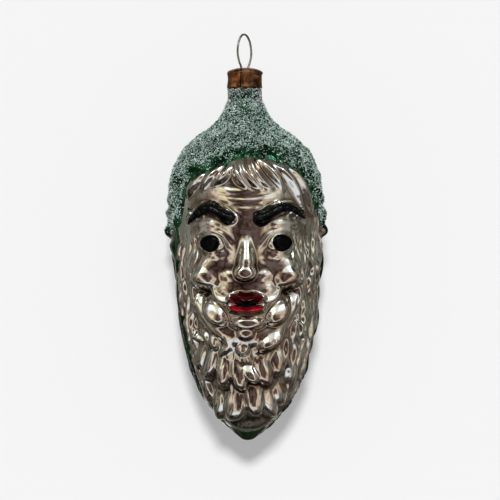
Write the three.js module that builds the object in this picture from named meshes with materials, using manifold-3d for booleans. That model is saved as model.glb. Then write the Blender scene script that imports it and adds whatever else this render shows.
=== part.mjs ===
// A mould-blown glass Christmas ornament: a bearded face on the front of a hanging pinecone.
// The glass is silvered inside, lacquered green behind, frosted over the hood and painted on the
// face. A slit spring cap closes its neck and carries a wire loop.
// Millimetres, +Z up, the face looks along -Y. Heights are measured up from the glass tip while
// modelling, and the finished group is lowered so that its origin is where a hook carries the loop.
import * as THREE from "three";
import { mergeVertices } from "three/addons/utils/BufferGeometryUtils.js";
import Module from "manifold-3d";

const wasm = await Module();
wasm.setup();

// Glass body
const WALL = 0.8;
const NECK_RADIUS = 4.35;
const NECK_WALL = 0.65;
const NECK_RISE = 2.7;
const NECK_LENGTH = 7.3;
const FRONT_DEPTH = 0.96;
const BACK_DEPTH = 0.92;
// Height above the tip and half width of the blown body below its neck
const BODY_OUTLINE = [
  [0, 0], [0.3, 1.3], [0.9, 2.3], [2.9, 4.6], [6.1, 7.9], [9.9, 10.8], [13.9, 13.3], [18, 15.1], [21.8, 16.4],
  [26.7, 17.7], [31.9, 18.9], [36.3, 19.5], [40.6, 20], [45.8, 20.3], [50.8, 20.8], [54.8, 21.3], [60, 21.6],
  [65, 21.4], [70, 21.3], [75, 20.9], [78.3, 20.1], [81.2, 18.9], [84.9, 15.9], [87.2, 13.7], [89.5, 10.4],
  [92.2, 7.5], [94.3, 6.3], [96.3, 5.4],
];

// Coats on the glass, each drawn as a solid that stands clear of the glass by one gap
const GAP = 0.3;
const SILVER = 0.3;
const LACQUER = 0.25;
const FROST = 0.5;
const PAINT = 0.25;
const HOOD_BASE = 60;
const SILVER_TOP = 92;

// Pinecone scales, worn shallow under the hood and where the mould closes on the left flank
const SCALES_AROUND = 14;
const SCALE_PITCH = 0.4;
const SCALE_RELIEF = 1.5;
const SCALE_LEAST_WIDTH = 4;
const SCALE_LENGTH = 0.85;
const SCALE_WIDTH = 0.52;
const SCALE_BLEND = 0.2;
const FULL_SCALE_WIDTH = 18;
const SCALE_START = { from: 0.5, to: 4 };
const SCALE_END = { from: 90, to: 96 };
const HOOD_SOFTENING = 0.5;
const LEFT_SHALLOWNESS = 0.75;

// Uneven frosting of the hood: height, count around and pitch up the hood, fading towards the neck
const FROST_LUMP = 0.25;
const FROST_LUMPS_AROUND = 22;
const FROST_LUMP_PITCH = 6.1;
const FROST_LUMP_END = { from: 92, to: 97 };

// Spring cap
const CAP_CLEARANCE = 0.3;
const CAP_WALL = 0.3;
const CAP_DOME = 1;
const CAP_BEAD = 0.3;
const CAP_BEAD_HEIGHT = 1;
const CAP_WAIST_HEIGHT = 1.1;
const CAP_FLARE = 0.25;
const CAP_FLARE_HEIGHT = 2.4;
const SLITS = 4;
const SLIT_WIDTH = 0.5;
const SLIT_MOUTH = 1.5;
const SLIT_TURN = 13;
const CAP_SIDES = 32;

// Wire loop and its two spring legs
const WIRE_RADIUS = 0.3;
const WIRE_CLEARANCE = 0.3;
const LOOP_TURN = 55;
const LOOP_HEIGHT = 10;
const LOOP_HALF_WIDTH = 3.4;
const HOLE_OFFSET = 1.7;
const LEG_LENGTH = 10.2;
const LEG_CLEARANCE = 0.45;

const degrees = THREE.MathUtils.degToRad;
const neckStart = BODY_OUTLINE.at(-1)[0] + NECK_RISE;
const neckTop = neckStart + NECK_LENGTH;
const capBore = NECK_RADIUS + CAP_CLEARANCE;
const capSeat = neckTop + CAP_CLEARANCE;
const capTop = capSeat + CAP_DOME + CAP_WALL;
const capBottom = capSeat - CAP_BEAD_HEIGHT - CAP_WAIST_HEIGHT - CAP_FLARE_HEIGHT;
const legSpread = NECK_RADIUS - NECK_WALL - WIRE_RADIUS - LEG_CLEARANCE;
const hookHeight = capTop + LOOP_HEIGHT - 2 * WIRE_RADIUS;
const beyondBody = 2 * Math.max(...BODY_OUTLINE.map(([, halfWidth]) => halfWidth));

// Smooth curve through an outline's points, without overshoot
function smoothOutline(points) {
  const [at, value] = [points.map((p) => p[0]), points.map((p) => p[1])];
  const rise = at.slice(1).map((a, i) => (value[i + 1] - value[i]) / (a - at[i]));
  const slope = at.map((_, i) => {
    if (i === 0 || i === at.length - 1) return rise[Math.min(i, rise.length - 1)];
    const [before, after] = [rise[i - 1], rise[i]];
    return before * after > 0 ? (2 * before * after) / (before + after) : 0;
  });
  return (x) => {
    const clamped = Math.min(Math.max(x, at[0]), at[at.length - 1]);
    let i = at.findIndex((a) => a > clamped) - 1;
    if (i < 0) i = at.length - 2;
    const span = at[i + 1] - at[i];
    const s = (clamped - at[i]) / span;
    return (
      (2 * s ** 3 - 3 * s ** 2 + 1) * value[i] +
      (s ** 3 - 2 * s ** 2 + s) * span * slope[i] +
      (3 * s ** 2 - 2 * s ** 3) * value[i + 1] +
      (s ** 3 - s ** 2) * span * slope[i + 1]
    );
  };
}

const halfWidth = smoothOutline([...BODY_OUTLINE, [neckStart, NECK_RADIUS], [neckTop, NECK_RADIUS]]);

const smoothStep = (from, to, x) => THREE.MathUtils.smoothstep(x, from, to);

// Relief forms, each a height over the glass at an unrolled place: distance around and height
const alongGlass = (x, z) => {
  const w = halfWidth(z);
  const share = Math.min(Math.max(x / w, -1), 1);
  return [w * Math.asin(share), z];
};

function turned(x, z, rx, rz, turn) {
  const [u0, z0] = alongGlass(x, z);
  const [c, s] = [Math.cos(degrees(turn)), Math.sin(degrees(turn))];
  return (u, v) => {
    const [du, dv] = [u - u0, v - z0];
    return ((du * c + dv * s) / rx) ** 2 + ((dv * c - du * s) / rz) ** 2;
  };
}

// A dome. Its fullness is 1 for a round top and more for a flat top with steep sides. With an angle up, its
// middle looks that far above level, and inward towards the middle of the face.
const mound = (x, z, rx, rz, height, turn = 0, fullness = 1, up = null, inward = 0) => {
  const distance = turned(x, z, rx, rz, turn);
  const [u0, z0] = alongGlass(x, z);
  const taper = halfWidth(z0 + 0.5) - halfWidth(z0 - 0.5);
  const climb = up === null ? 0 : Math.tan(degrees(up)) + taper;
  const rise = Math.tan(degrees(inward)) * Math.sign(u0);
  return (u, v) => height * (1 - distance(u, v) ** fullness) + rise * (u - u0) - climb * (v - z0);
};

const swell = (x, z, rx, rz, height) => {
  const distance = turned(x, z, rx, rz, 0);
  return (u, v) => height * Math.exp(-distance(u, v));
};

const spread = (list, share) => {
  const place = share * (list.length - 1);
  const i = Math.min(Math.floor(place), list.length - 2);
  return list.length === 1 ? list[0] : list[i] + (list[i + 1] - list[i]) * (place - i);
};

// A rounded ridge along a curve, with radii and heights spread evenly along it
function ridge(points, radii, heights, fullness = 1, steps = 14) {
  const curve = new THREE.CatmullRomCurve3(points.map(([x, z]) => new THREE.Vector3(...alongGlass(x, z), 0)));
  const line = curve.getPoints(steps);
  return (u, v) => {
    let best = -9;
    for (let i = 0; i < steps; i++) {
      const [a, b] = [line[i], line[i + 1]];
      const [du, dv] = [b.x - a.x, b.y - a.y];
      const along = ((u - a.x) * du + (v - a.y) * dv) / (du * du + dv * dv);
      const s = Math.min(Math.max(along, 0), 1);
      const gap2 = (u - a.x - s * du) ** 2 + (v - a.y - s * dv) ** 2;
      const share = (i + s) / steps;
      best = Math.max(best, spread(heights, share) * (1 - (gap2 / spread(radii, share) ** 2) ** fullness));
    }
    return best;
  };
}

const bothSides = (make) => [-1, 1].flatMap(make);
const mirrored = (outline, side) => outline.map(([x, z]) => [side * x, z]);

const swells = [
  swell(0, 64.6, 5, 2.6, 0.9),
  swell(0, 60.8, 2.6, 1.6, -0.2),
  swell(0, 40.6, 9.9, 5.8, 1.3),
  ...bothSides((side) => [
    swell(side * 10.4, 57.7, 4.9, 3.5, -1.3),
    swell(side * 17.7, 65.3, 2.3, 7.3, -0.5),
    swell(side * 11.8, 43.6, 2, 1.9, -1.3),
    swell(side * 9.6, 50.6, 4.6, 2.2, 0.8),
    swell(side * 5.6, 53.4, 1.6, 2.2, -0.6),
  ]),
];

// Each fold of the forehead sags from its ends to its middle
const FOREHEAD_FOLDS = [
  { ends: 73, middle: 71.2, half: 10.5, height: 0.35 },
  { ends: 70.6, middle: 68.8, half: 9.5, height: 0.5 },
  { ends: 67.6, middle: 66.5, half: 4.2, height: 0.35 },
];
const forehead = () =>
  FOREHEAD_FOLDS.map(({ ends, middle, half, height }) => {
    const line = [-1, -0.5, 0, 0.5, 1].map((s) => [half * s, middle + (ends - middle) * s * s]);
    return ridge(line, [0.9, 1.2, 1.2, 1.2, 0.9], [0.05, height, height, height, 0.05]);
  });

// The eye and what goes with it: brow and lid follow its height
const EYE = { x: 10.2, z: 57.1, rx: 2.8, rz: 2.35 };
const EYEBALL = { rx: 4.3, rz: 3, height: 1.9 };
const aboveEye = (outline) => outline.map(([x, rise]) => [x, EYE.z + rise]);
const BROW_LINE = aboveEye([
  [16.6, 6.9], [14.6, 8.4], [12.2, 9.9], [9.3, 9.8], [7, 8.5], [5, 7.3], [3.1, 6.6],
]);
const BROW_RADII = [1.1, 1.5, 1.8, 2, 2.1, 2.1, 1.7];
const BROW_HEIGHTS = [0.7, 1.3, 1.9, 2.2, 2.2, 2, 1.2];
const EYELID = aboveEye([[15.6, 0.3], [13.4, 2.8], [10.2, 3.3], [7, 2.3], [4.8, -0.1]]);
const brows = () => bothSides((side) => [ridge(mirrored(BROW_LINE, side), BROW_RADII, BROW_HEIGHTS, 1.2)]);
const eyes = () =>
  bothSides((side) => [
    mound(side * EYE.x, EYE.z, EYEBALL.rx, EYEBALL.rz, EYEBALL.height, 0, 2),
    mound(side * 11.3, EYE.z + 4.9, 4.3, 1.7, 0.9, side * 2, 2.5, 0),
    ridge(mirrored(EYELID, side), [0.8, 1, 0.8], [0.4, 0.9, 0.5]),
    mound(side * 8.3, EYE.z - 2.9, 4.2, 1.7, 0.8, side * 10, 1.2),
  ]);

const LAUGH_LINE = [[15.6, 50.6], [14.6, 46.4], [11.4, 44.6], [8.4, 45.6]];
const cheeks = () =>
  bothSides((side) => [
    mound(side * 11.5 - 0.2, 49.3, 4.5, 4.2, 2.5, side * 8, 1.7, 8, 10),
    ridge(mirrored(LAUGH_LINE, side), [0.8, 1.1, 1.1, 0.8], [0.6, 1.2, 1.3, 0.8]),
    mound(side * 8.9, 38, 4.7, 2.6, 2, side * 48, 2.4, 21, 14),
  ]);

const NOSE_LINE = [[0.1, 57.8], [0.1, 55.6], [0.1, 53.2], [0, 51]];
const NOSTRIL = [[2.7, 48.3], [4.2, 48.6], [5.6, 47.8], [5.6, 46.6], [4.2, 46.2]];
const nose = () => [
  ridge(NOSE_LINE, [1.4, 1.9, 2.5, 3.2], [0.3, 1.2, 2.4, 3.7], 1.4),
  mound(-0.4, 49, 3, 2.4, 4.3, 0, 1.5),
  ...bothSides((side) => [
    ridge(mirrored(NOSTRIL, side), [0.9, 1.2, 1.2, 1, 0.7], [1.3, 1.6, 1.5, 1.2, 0.7], 1.4),
    mound(side * 3.6, 47.4, 2.1, 1.6, 1.5, 0, 1.4),
  ]),
];

const MOUSTACHE_TAIL = [[3.6, 41.2], [5.6, 40.7], [7.6, 41.4], [8.9, 43.2], [9.4, 45.4]];
const moustache = () =>
  bothSides((side) => [
    mound(side * 5.2, 43.9, 3.5, 2.2, 1, side * -8, 2, 0, 4),
    ridge(mirrored(MOUSTACHE_TAIL, side), [0.8, 1, 1, 1, 0.8], [1.2, 1.5, 1.5, 1.2, 0.5], 1.2),
  ]);

const UPPER_LIP = [[-4.4, 41.5], [-2.2, 42.2], [0, 41.7], [2.2, 42.2], [4.4, 41.5]];
const LOWER_LIP = [[-4.4, 38.9], [-2.2, 38.4], [0, 38.3], [2.2, 38.4], [4.4, 38.9]];
const mouth = () => [
  ridge(UPPER_LIP, [0.8, 1.2, 0.8], [1.9, 2.8, 1.9]),
  ridge(LOWER_LIP, [0.8, 1.1, 0.8], [1.9, 2.9, 1.9]),
  mound(0.2, 34.5, 5, 2.1, 1.7, 0, 2, 2),
  mound(-0.3, 31.6, 3, 1.9, 1.6, 0, 1.6, 0),
];

// The smooth roll that frames the face from the cheek to under the chin
const FACE_ROLL = [
  [16.8, 55], [16.4, 51], [15.7, 46], [14.2, 40.6], [11.6, 35.6], [7.8, 32], [4, 30.2], [-0.2, 29.6],
];
const faceRoll = () =>
  bothSides((side) => [
    ridge(mirrored(FACE_ROLL, side), [1.5, 1.8, 1.9, 2.1, 2.2], [0.1, 0.8, 1.1, 1, 0.7], 1.2, 24),
  ]);

const EAR_RIM = [[20.4, 67.8], [21.7, 65.6], [21.7, 62.6]];
const EAR_FOLD = [[19.2, 66.4], [19.9, 63.6], [19.2, 59.6]];
const ears = () =>
  bothSides((side) => [
    mound(side * 21.7, 60.6, 2.4, 2.1, 2.1, 0, 1.4),
    ridge(mirrored(EAR_RIM, side), [0.8, 1, 0.8], [1, 1.9, 1.6]),
    ridge(mirrored(EAR_FOLD, side), [0.6, 0.8, 0.6], [0.5, 0.9, 0.5]),
  ]);

const forelock = () =>
  [
    [[-0.6, 81.4], [-0.6, 78.3], [1.2, 75.1], [4.3, 72.3]],
    [[1.6, 81.6], [2.1, 78.3], [4.1, 75], [7.4, 72.3]],
    [[4.3, 80.5], [6.4, 78], [8.6, 75.4], [10.4, 72.3]],
    [[-2.2, 81], [-2.6, 78.3], [-1.6, 75.1], [0.7, 72.5]],
    [[-3.7, 80], [-4.8, 77.2], [-6.6, 75.3], [-8.9, 73.6]],
    [[-6.6, 79], [-8.4, 76.9], [-10.4, 75.1], [-12, 72.6]],
    [[-10.1, 77.5], [-12.8, 75.1], [-14.8, 73], [-16.4, 70.5]],
    [[7.2, 79.6], [11, 76.6], [13.9, 72.4], [15.9, 67.6]],
    [[10.1, 79.2], [14.2, 76], [17, 71.3], [18.8, 66.4]],
  ].map((line) => ridge(line, [0.9, 1.35, 1.2, 0.7], [1.4, 2.1, 1.9, 0.8], 1, 9));

// Curls of hair that lift the hood's edge
const hairlineCurls = () =>
  [
    [[3.2, 82.6], [5.6, 84.4], [8.8, 84.6], [10.8, 83], [10, 81.4]],
    [[9.6, 82.4], [12.4, 82.8], [14.8, 81], [14.6, 79.2]],
    [[-1.4, 82.8], [0.4, 84.6], [2.8, 84.4]],
    [[-6.4, 81], [-4.6, 82.8], [-2.2, 82.6]],
    [[-11.4, 79.2], [-9.4, 80.6], [-7.2, 80.2]],
    [[-16.4, 76.6], [-14.6, 78.6], [-12.2, 78.4]],
    [[-18.8, 72.6], [-18.6, 75.4], [-16.8, 76.6]],
    [[15.6, 77.8], [17.6, 76.8], [18.6, 74.2]],
    [[18.4, 73.4], [19.8, 71.4], [20, 68.8]],
  ].map((line) => ridge(line, [0.8, 1.2, 0.8], [0.9, 1.7, 0.9], 1, 8));

// Full locks of the beard: place, half sizes, height, lean, and how far their middles look up and inward
const LOCK_FULLNESS = 1.8;
const beardLocks = () =>
  [
    [-9.3, 30.1, 1.3, 2.6, 1.1, 20, 20, 12], [-1.2, 27.6, 1.9, 1.8, 1.1, 0, 24, 0],
    [7.3, 30.5, 5.6, 2, 1.5, 36, 21, 12], [-12.9, 25.6, 2, 4.4, 0.9, -20, 0, 8],
    [-10, 23.6, 2.1, 4.8, 1.3, -17, 0, 6], [-6.7, 21.1, 2.3, 4.3, 1.6, 4, 1, 2],
    [-2.8, 20.4, 2.2, 4.7, 1.6, 21, 1, 0], [0.6, 20.7, 2.1, 3.5, 1.7, 48, 20, 0],
    [4.7, 21.2, 2.6, 4.2, 1.6, 14, 1, 2], [9, 23.6, 2.4, 4, 1.2, -12, 0, 6],
    [12.4, 22.5, 1.8, 4.6, 0.9, -10, 0, 8], [-8.3, 13.2, 2, 4.8, 1.1, 15, 0, 6],
    [-3.6, 12.2, 3.2, 4.2, 1.5, 0, 1, 0], [1.9, 13.4, 2.7, 4.5, 1.7, 5, 1, 0],
    [6, 13.2, 1.9, 4, 1.1, 12, 0, 4], [9.2, 15.2, 2.4, 3.6, 1.3, -5, 0, 8],
    [-11.9, 17.4, 1.6, 4.8, 0.8, 22, 0, 8],
  ].map(([x, z, rx, rz, height, lean, ...look]) => mound(x, z, rx, rz, height, lean, LOCK_FULLNESS, ...look));

// Their free ends, which look up
const beardTips = () =>
  [[-6.5, 18.7], [-1.9, 17.9], [1.6, 10.9], [-3.6, 9.7], [5.4, 18.6], [-10.8, 20.2]].map(([x, z]) =>
    mound(x, z, 1.4, 1.5, 1.7, 0, 1.6, 19),
  );

// The smooth hem under the beard
const BEARD_HEM = [[-9.4, 14], [-7.2, 8.6], [-3.9, 5], [0.3, 3.9], [4.7, 5.2], [8, 8.8], [9.9, 13.6]];
const beardHem = () => [ridge(BEARD_HEM, [1.2, 1.5, 1.6, 1.5, 1.2], [0.4, 0.6, 0.6, 0.6, 0.4], 1, 16)];

const beardStrokes = () =>
  [
    [[-7.4, 25.6], [-6, 27], [-4.4, 28.7]],
    [[-7.2, 31], [-5.5, 29.4], [-4.6, 27.4]],
    [[2.6, 26.4], [5, 27.2], [7.6, 28]],
  ].map((line) => ridge(line, [0.5, 0.9, 0.6], [1, 1.5, 1], 1, 8));

// Long strands that fall beside the face and beard
const sideStrands = () =>
  [
    [[-16.2, 41.8], [-16.8, 35.4], [-15.4, 27.8], [-13.6, 20.3], [-11, 13.3], [-7.5, 7]],
    [[-17.7, 44.1], [-18.3, 35.4], [-16.8, 26.7], [-14.8, 18.6], [-12.2, 11.6], [-8.7, 5.8]],
    [[-14.5, 34.8], [-15.1, 30.2], [-13.6, 23.2], [-11.9, 16.2], [-9.6, 10.4], [-6.7, 5.8]],
    [[-18.9, 58], [-19.4, 47.8], [-18.6, 40.6], [-19.1, 33.3], [-17.7, 26.1], [-15.7, 18.8]],
    [[-17.7, 55.1], [-18, 48.7], [-17.1, 43.5], [-17.7, 39.1]],
    [[-12.5, 24.4], [-11.9, 19.7], [-10.4, 15.1], [-8.1, 11]],
    [[-15.4, 33.1], [-14.2, 30.7], [-12.5, 29.6]],
    [[-12.8, 31.9], [-11, 30.2], [-10.1, 27.3]],
    [[-14.5, 38.9], [-15.7, 34.8], [-14.5, 29.6], [-13.9, 25.5]],
    [[16.2, 40.6], [16.2, 34.2], [15.1, 27.3], [13.3, 20.3], [11.6, 13.9], [8.1, 7.5]],
    [[17.7, 43.5], [18.6, 37.1], [17.4, 29], [15.9, 22], [13.9, 15.7], [10.1, 9.3]],
    [[19.3, 58], [18.6, 50], [19.6, 40], [18.8, 29.6], [17.2, 22], [14.6, 15.1]],
    [[18, 56.8], [17.1, 53.4], [18.6, 49.3], [17.4, 44.7], [18.8, 40.6]],
    [[20.6, 58], [21, 53.6], [19.9, 49.3], [20.7, 44.1], [19.8, 37]],
    [[13, 30.7], [13.6, 26.1], [12.2, 20.9], [11.3, 15.7], [9.6, 11]],
    [[11.6, 29], [11, 24.4], [12.2, 19.7]],
    [[14.5, 36], [13.3, 31.9], [14.5, 28.4], [13.6, 24.4]],
    [[16.2, 35.4], [15.1, 31.9], [15.9, 28.4]],
  ].map((line) => ridge(line, [0.6, 0.95, 0.95, 0.6], [0.8, 1.25, 1.25, 0.7], 1, 12));

const frontForms = [
  sideStrands, beardLocks, beardTips, beardStrokes, beardHem, forehead, forelock, hairlineCurls, nose, mouth,
  brows, eyes, cheeks, moustache, faceRoll, ears,
].flatMap((make) => make());

const softMax = (a, b, blend) => {
  const h = THREE.MathUtils.clamp(0.5 + (0.5 * (a - b)) / blend, 0, 1);
  return b + (a - b) * h + blend * h * (1 - h);
};

const FORM_BLEND = 0.55;
const frontRelief = (u, z) => {
  const base = swells.reduce((sum, form) => sum + form(u, z), 0);
  return base + frontForms.reduce((top, form) => softMax(top, form(u, z), FORM_BLEND), 0);
};

// Rows of scales climb the cone in steps that follow its width, each row half a scale round
const scaleRows = [];
for (let z = 3, odd = 0; z < neckStart; odd = 1 - odd) {
  scaleRows.push([z, odd]);
  z += SCALE_PITCH * Math.max(halfWidth(z), SCALE_LEAST_WIDTH);
}

function scaleRelief(t, z) {
  const step = (2 * Math.PI) / SCALES_AROUND;
  let top = 0;
  for (const [row, odd] of scaleRows) {
    const wide = Math.max(halfWidth(row), SCALE_LEAST_WIDTH);
    const v = (z - row) / (SCALE_PITCH * wide * SCALE_LENGTH);
    if (Math.abs(v) > 1.2) continue;
    const middle = (Math.round(t / step - odd / 2) + odd / 2) * step;
    const u = (t - middle) / (SCALE_WIDTH * step);
    const lean = 1 - 0.25 * v - 0.35 * smoothStep(0.1, 0.9, v);
    const height = SCALE_RELIEF * Math.min(1, wide / FULL_SCALE_WIDTH) * lean;
    top = softMax(top, height * (1 - u * u - v * v), SCALE_BLEND);
  }
  const begun = smoothStep(SCALE_START.from, SCALE_START.to, z);
  return top * begun * (1 - smoothStep(SCALE_END.from, SCALE_END.to, z));
}

// Closed outline of the silver face and beard as seen from the front, x and height
const FACE_OUTLINE = [
  [0, 3.3], [4.6, 4.4], [8.2, 7.5], [12.5, 12.2], [15.6, 16.5], [18.4, 23], [20.4, 30], [23, 38], [26, 46],
  [26, 62], [20.6, 68], [18.9, 72.8], [16.7, 76.4], [13.7, 78.1], [8, 80.4], [0, 80.8], [-6.2, 79.6],
  [-11, 77.4], [-15.3, 75.7], [-17.6, 74], [-18.6, 68], [-18.8, 60], [-19.2, 46], [-18.6, 40], [-17.7, 35],
  [-16.5, 29], [-15.4, 23], [-13.6, 17.4], [-11.4, 11.6], [-8.4, 7.5], [-4.8, 4.5],
];

// How much of the face's relief shows at a place, against the scales behind it
const FACE_EDGE = { left: 66, right: 84, blend: 7 };
const FACE_FOOT = { from: 2.4, to: 4.5 };
const FACE_HEAD = { from: 83, to: 86 };
function faceShare(angle, z) {
  const edge = angle < 0 ? FACE_EDGE.left : FACE_EDGE.right;
  const around = 1 - smoothStep(edge, edge + FACE_EDGE.blend, Math.abs(angle));
  const aboveFoot = smoothStep(FACE_FOOT.from, FACE_FOOT.to, z);
  return around * aboveFoot * (1 - smoothStep(FACE_HEAD.from, FACE_HEAD.to, z));
}

// The ears reach further round than the face
const EAR_BAND = { foot: 56, footBlend: 3, head: 67, headBlend: 3, side: 97, sideBlend: 15 };
function earShare(angle, z) {
  const { foot, footBlend, head, headBlend, side, sideBlend } = EAR_BAND;
  const upright = smoothStep(foot, foot + footBlend, z) * (1 - smoothStep(head, head + headBlend, z));
  return upright * (1 - smoothStep(side, side + sideBlend, Math.abs(angle)));
}

// The flank beside the face on its left, where the scales lie flat
const LEFT_FLANK = { back: -150, backBlend: 35, front: -70, frontBlend: 15, top: 50, topBlend: 10 };
function leftFlank(angle, z) {
  const { back, backBlend, front, frontBlend, top, topBlend } = LEFT_FLANK;
  const beyondBack = smoothStep(back, back + backBlend, angle);
  const around = beyondBack * (1 - smoothStep(front, front + frontBlend, angle));
  return around * (1 - smoothStep(top, top + topBlend, z));
}

const HOOD_EASING = { from: 62, to: 80 };
function relief(t, z) {
  const angle = THREE.MathUtils.radToDeg(t);
  const share = Math.max(faceShare(angle, z), earShare(angle, z));
  const front = share > 0 ? frontRelief(halfWidth(z) * t, z) : 0;
  const underHood = 1 - HOOD_SOFTENING * smoothStep(HOOD_EASING.from, HOOD_EASING.to, z);
  const shallow = 1 - LEFT_SHALLOWNESS * leftFlank(angle, z);
  return share * front + (1 - share) * scaleRelief(t, z) * underHood * shallow;
}

// A point at an angle from the front and a height, lifted off the plain body along its normal.
// The body is slightly flattened, and turns round towards its neck.
const ROUNDING = { from: 82, to: 96 };
function onBody(t, z, lift) {
  const w = halfWidth(z);
  const round = smoothStep(ROUNDING.from, ROUNDING.to, z);
  const flat = (Math.cos(t) > 0 ? FRONT_DEPTH : BACK_DEPTH) * (1 - round) + round;
  const step = 0.05;
  const below = Math.max(z - step, 0);
  const slope = (halfWidth(z + step) - halfWidth(below)) / (z + step - below);
  const normal = new THREE.Vector3(Math.sin(t) * flat, -Math.cos(t), -slope * flat).normalize();
  return new THREE.Vector3(w * Math.sin(t), -w * flat * Math.cos(t), z).addScaledVector(normal, lift);
}

// The grid that the glass and its coats share. Its columns crowd on the face and thin out beside it.
const FACE_SPAN = 54;
const range = (from, to, count) => Array.from({ length: count }, (_, i) => from + ((to - from) * i) / count);
const COLUMNS = [
  ...range(-180, -90, SCALES_AROUND / 2), ...range(-90, -FACE_SPAN, 5), ...range(-FACE_SPAN, FACE_SPAN, 34),
  ...range(FACE_SPAN, 90, 5), ...range(90, 180, SCALES_AROUND / 2),
].map(degrees);
const ROWS = [
  ...range(0.25, 4, 3), ...range(4, 30, 11), ...range(30, 38, 5), ...range(38, 54, 12), ...range(54, 70, 9),
  ...range(70, neckStart, 12), neckStart,
];

// Relief at each crossing of the grid, averaged over its cell so that finer detail is smoothed away
const CELL_SAMPLES = [-0.36, 0, 0.36];
const spacing = (list, i) => (list[Math.min(i + 1, list.length - 1)] - list[Math.max(i - 1, 0)]) / 2;
const reliefGrid = ROWS.map((z, i) =>
  COLUMNS.map((t, j) => {
    const [tall, wide] = [spacing(ROWS, i), spacing(COLUMNS, j)];
    const samples = CELL_SAMPLES.flatMap((a) => CELL_SAMPLES.map((b) => relief(t + b * wide, z + a * tall)));
    return samples.reduce((sum, height) => sum + height, 0) / samples.length;
  }));

function solidOf(points, faces) {
  const vertProperties = new Float32Array(points.flatMap((p) => [p.x, p.y, p.z]));
  const triVerts = new Uint32Array(faces.flat());
  return new wasm.Manifold(new wasm.Mesh({ numProp: 3, vertProperties, triVerts }));
}

function solidFromGeometry(geometry, matrix = new THREE.Matrix4()) {
  const bare = new THREE.BufferGeometry();
  const source = geometry.index ? geometry.toNonIndexed() : geometry;
  bare.setAttribute("position", source.getAttribute("position").clone());
  const merged = mergeVertices(bare.applyMatrix4(matrix), 1e-4);
  const [vertProperties, triVerts] = [merged.attributes.position.array, new Uint32Array(merged.index.array)];
  return new wasm.Manifold(new wasm.Mesh({ numProp: 3, vertProperties, triVerts }));
}

// Closed solid from rings of points, with a point at each end.
// A crossed cell is split along its other diagonal.
function ringsSolid(rings, bottom, top, crossed = () => false) {
  const count = rings[0].length;
  const points = [bottom, ...rings.flat(), top];
  const at = (row, column) => 1 + row * count + (column % count);
  const faces = [];
  for (let j = 0; j < count; j++) {
    faces.push([0, at(0, j + 1), at(0, j)]);
    faces.push([points.length - 1, at(rings.length - 1, j), at(rings.length - 1, j + 1)]);
    for (let i = 0; i < rings.length - 1; i++) {
      const [a, b, c, d] = [at(i, j), at(i, j + 1), at(i + 1, j + 1), at(i + 1, j)];
      faces.push(...(crossed(i, j) ? [[a, b, d], [b, c, d]] : [[a, b, c], [a, c, d]]));
    }
  }
  return solidOf(points, faces);
}

const axisPoint = (z) => new THREE.Vector3(0, 0, z);

// Whether the relief changes less along a cell's other diagonal, as it does along a leaning ridge
function followsOtherDiagonal(i, j) {
  const [low, high, next] = [reliefGrid[i], reliefGrid[i + 1], (j + 1) % COLUMNS.length];
  return Math.abs(low[next] - high[j]) < Math.abs(low[j] - high[next]);
}

// Solid of the glass's outer shape grown by a lift, between two heights, with lumps of its own
function bodySolid(lift, { floor = 0, ceiling = neckTop, lump = () => 0 } = {}) {
  const rows = ROWS.map((_, i) => i).filter((i) => ROWS[i] > floor && ROWS[i] < ceiling);
  const lifted = (i, j) => reliefGrid[i][j] + lift + lump(COLUMNS[j], ROWS[i]);
  const rings = rows.map((i) => COLUMNS.map((t, j) => onBody(t, ROWS[i], lifted(i, j))));
  rings.push(COLUMNS.map((t) => onBody(t, ceiling, lift).setZ(ceiling)));
  const crossed = (k, j) => k + 1 < rows.length && followsOtherDiagonal(rows[k], j);
  return ringsSolid(rings, axisPoint(floor - lift), axisPoint(ceiling), crossed);
}

// Solid that stays a wall away from the lowest relief around each of its points
const CAVITY = { floor: 2.6, rise: 1.6, columnStride: 2, rowStride: 4, shoulder: 84 };
function cavitySolid(shrink, ceiling) {
  const [wall, neckWall] = [WALL + shrink, NECK_WALL + shrink];
  const lowest = (i, j) => {
    let low = Infinity;
    for (let a = -CAVITY.rowStride; a <= CAVITY.rowStride; a++)
      for (let b = -CAVITY.columnStride; b <= CAVITY.columnStride; b++) {
        const row = THREE.MathUtils.clamp(i + a, 0, ROWS.length - 1);
        low = Math.min(low, reliefGrid[row][(j + b + COLUMNS.length) % COLUMNS.length]);
      }
    return low;
  };
  const columns = COLUMNS.map((t, j) => [t, j]).filter(([, j]) => j % CAVITY.columnStride === 0);
  const rings = [];
  ROWS.forEach((z, i) => {
    if ((i % CAVITY.rowStride && z < CAVITY.shoulder) || z < CAVITY.floor + CAVITY.rise) return;
    const inset = wall + (neckWall - wall) * smoothStep(CAVITY.shoulder, neckStart, z);
    rings.push(columns.map(([t, j]) => onBody(t, z, lowest(i, j) - inset)));
  });
  rings.push(columns.map(([t]) => onBody(t, neckTop, -neckWall).setZ(ceiling)));
  return ringsSolid(rings, axisPoint(CAVITY.floor + shrink), axisPoint(ceiling));
}

const glassBody = () => bodySolid(0).subtract(cavitySolid(0, neckTop + 1));

function silverLining() {
  const skin = cavitySolid(GAP, neckTop + 1).subtract(cavitySolid(GAP + SILVER, neckTop + 2));
  return skin.intersect(slab(0, SILVER_TOP));
}

// Everything in front of the glass's middle plane that lies behind an outline drawn on the front
function frontPrism(outline) {
  const shape = new THREE.Shape(outline.map(([x, z]) => new THREE.Vector2(x, z)));
  const geometry = new THREE.ExtrudeGeometry(shape, { depth: beyondBody, bevelEnabled: false });
  return solidFromGeometry(geometry, new THREE.Matrix4().makeRotationX(Math.PI / 2));
}

function slab(low, high) {
  const box = new THREE.BoxGeometry(2 * beyondBody, 2 * beyondBody, high - low);
  return solidFromGeometry(box.translate(0, 0, (low + high) / 2));
}

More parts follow.
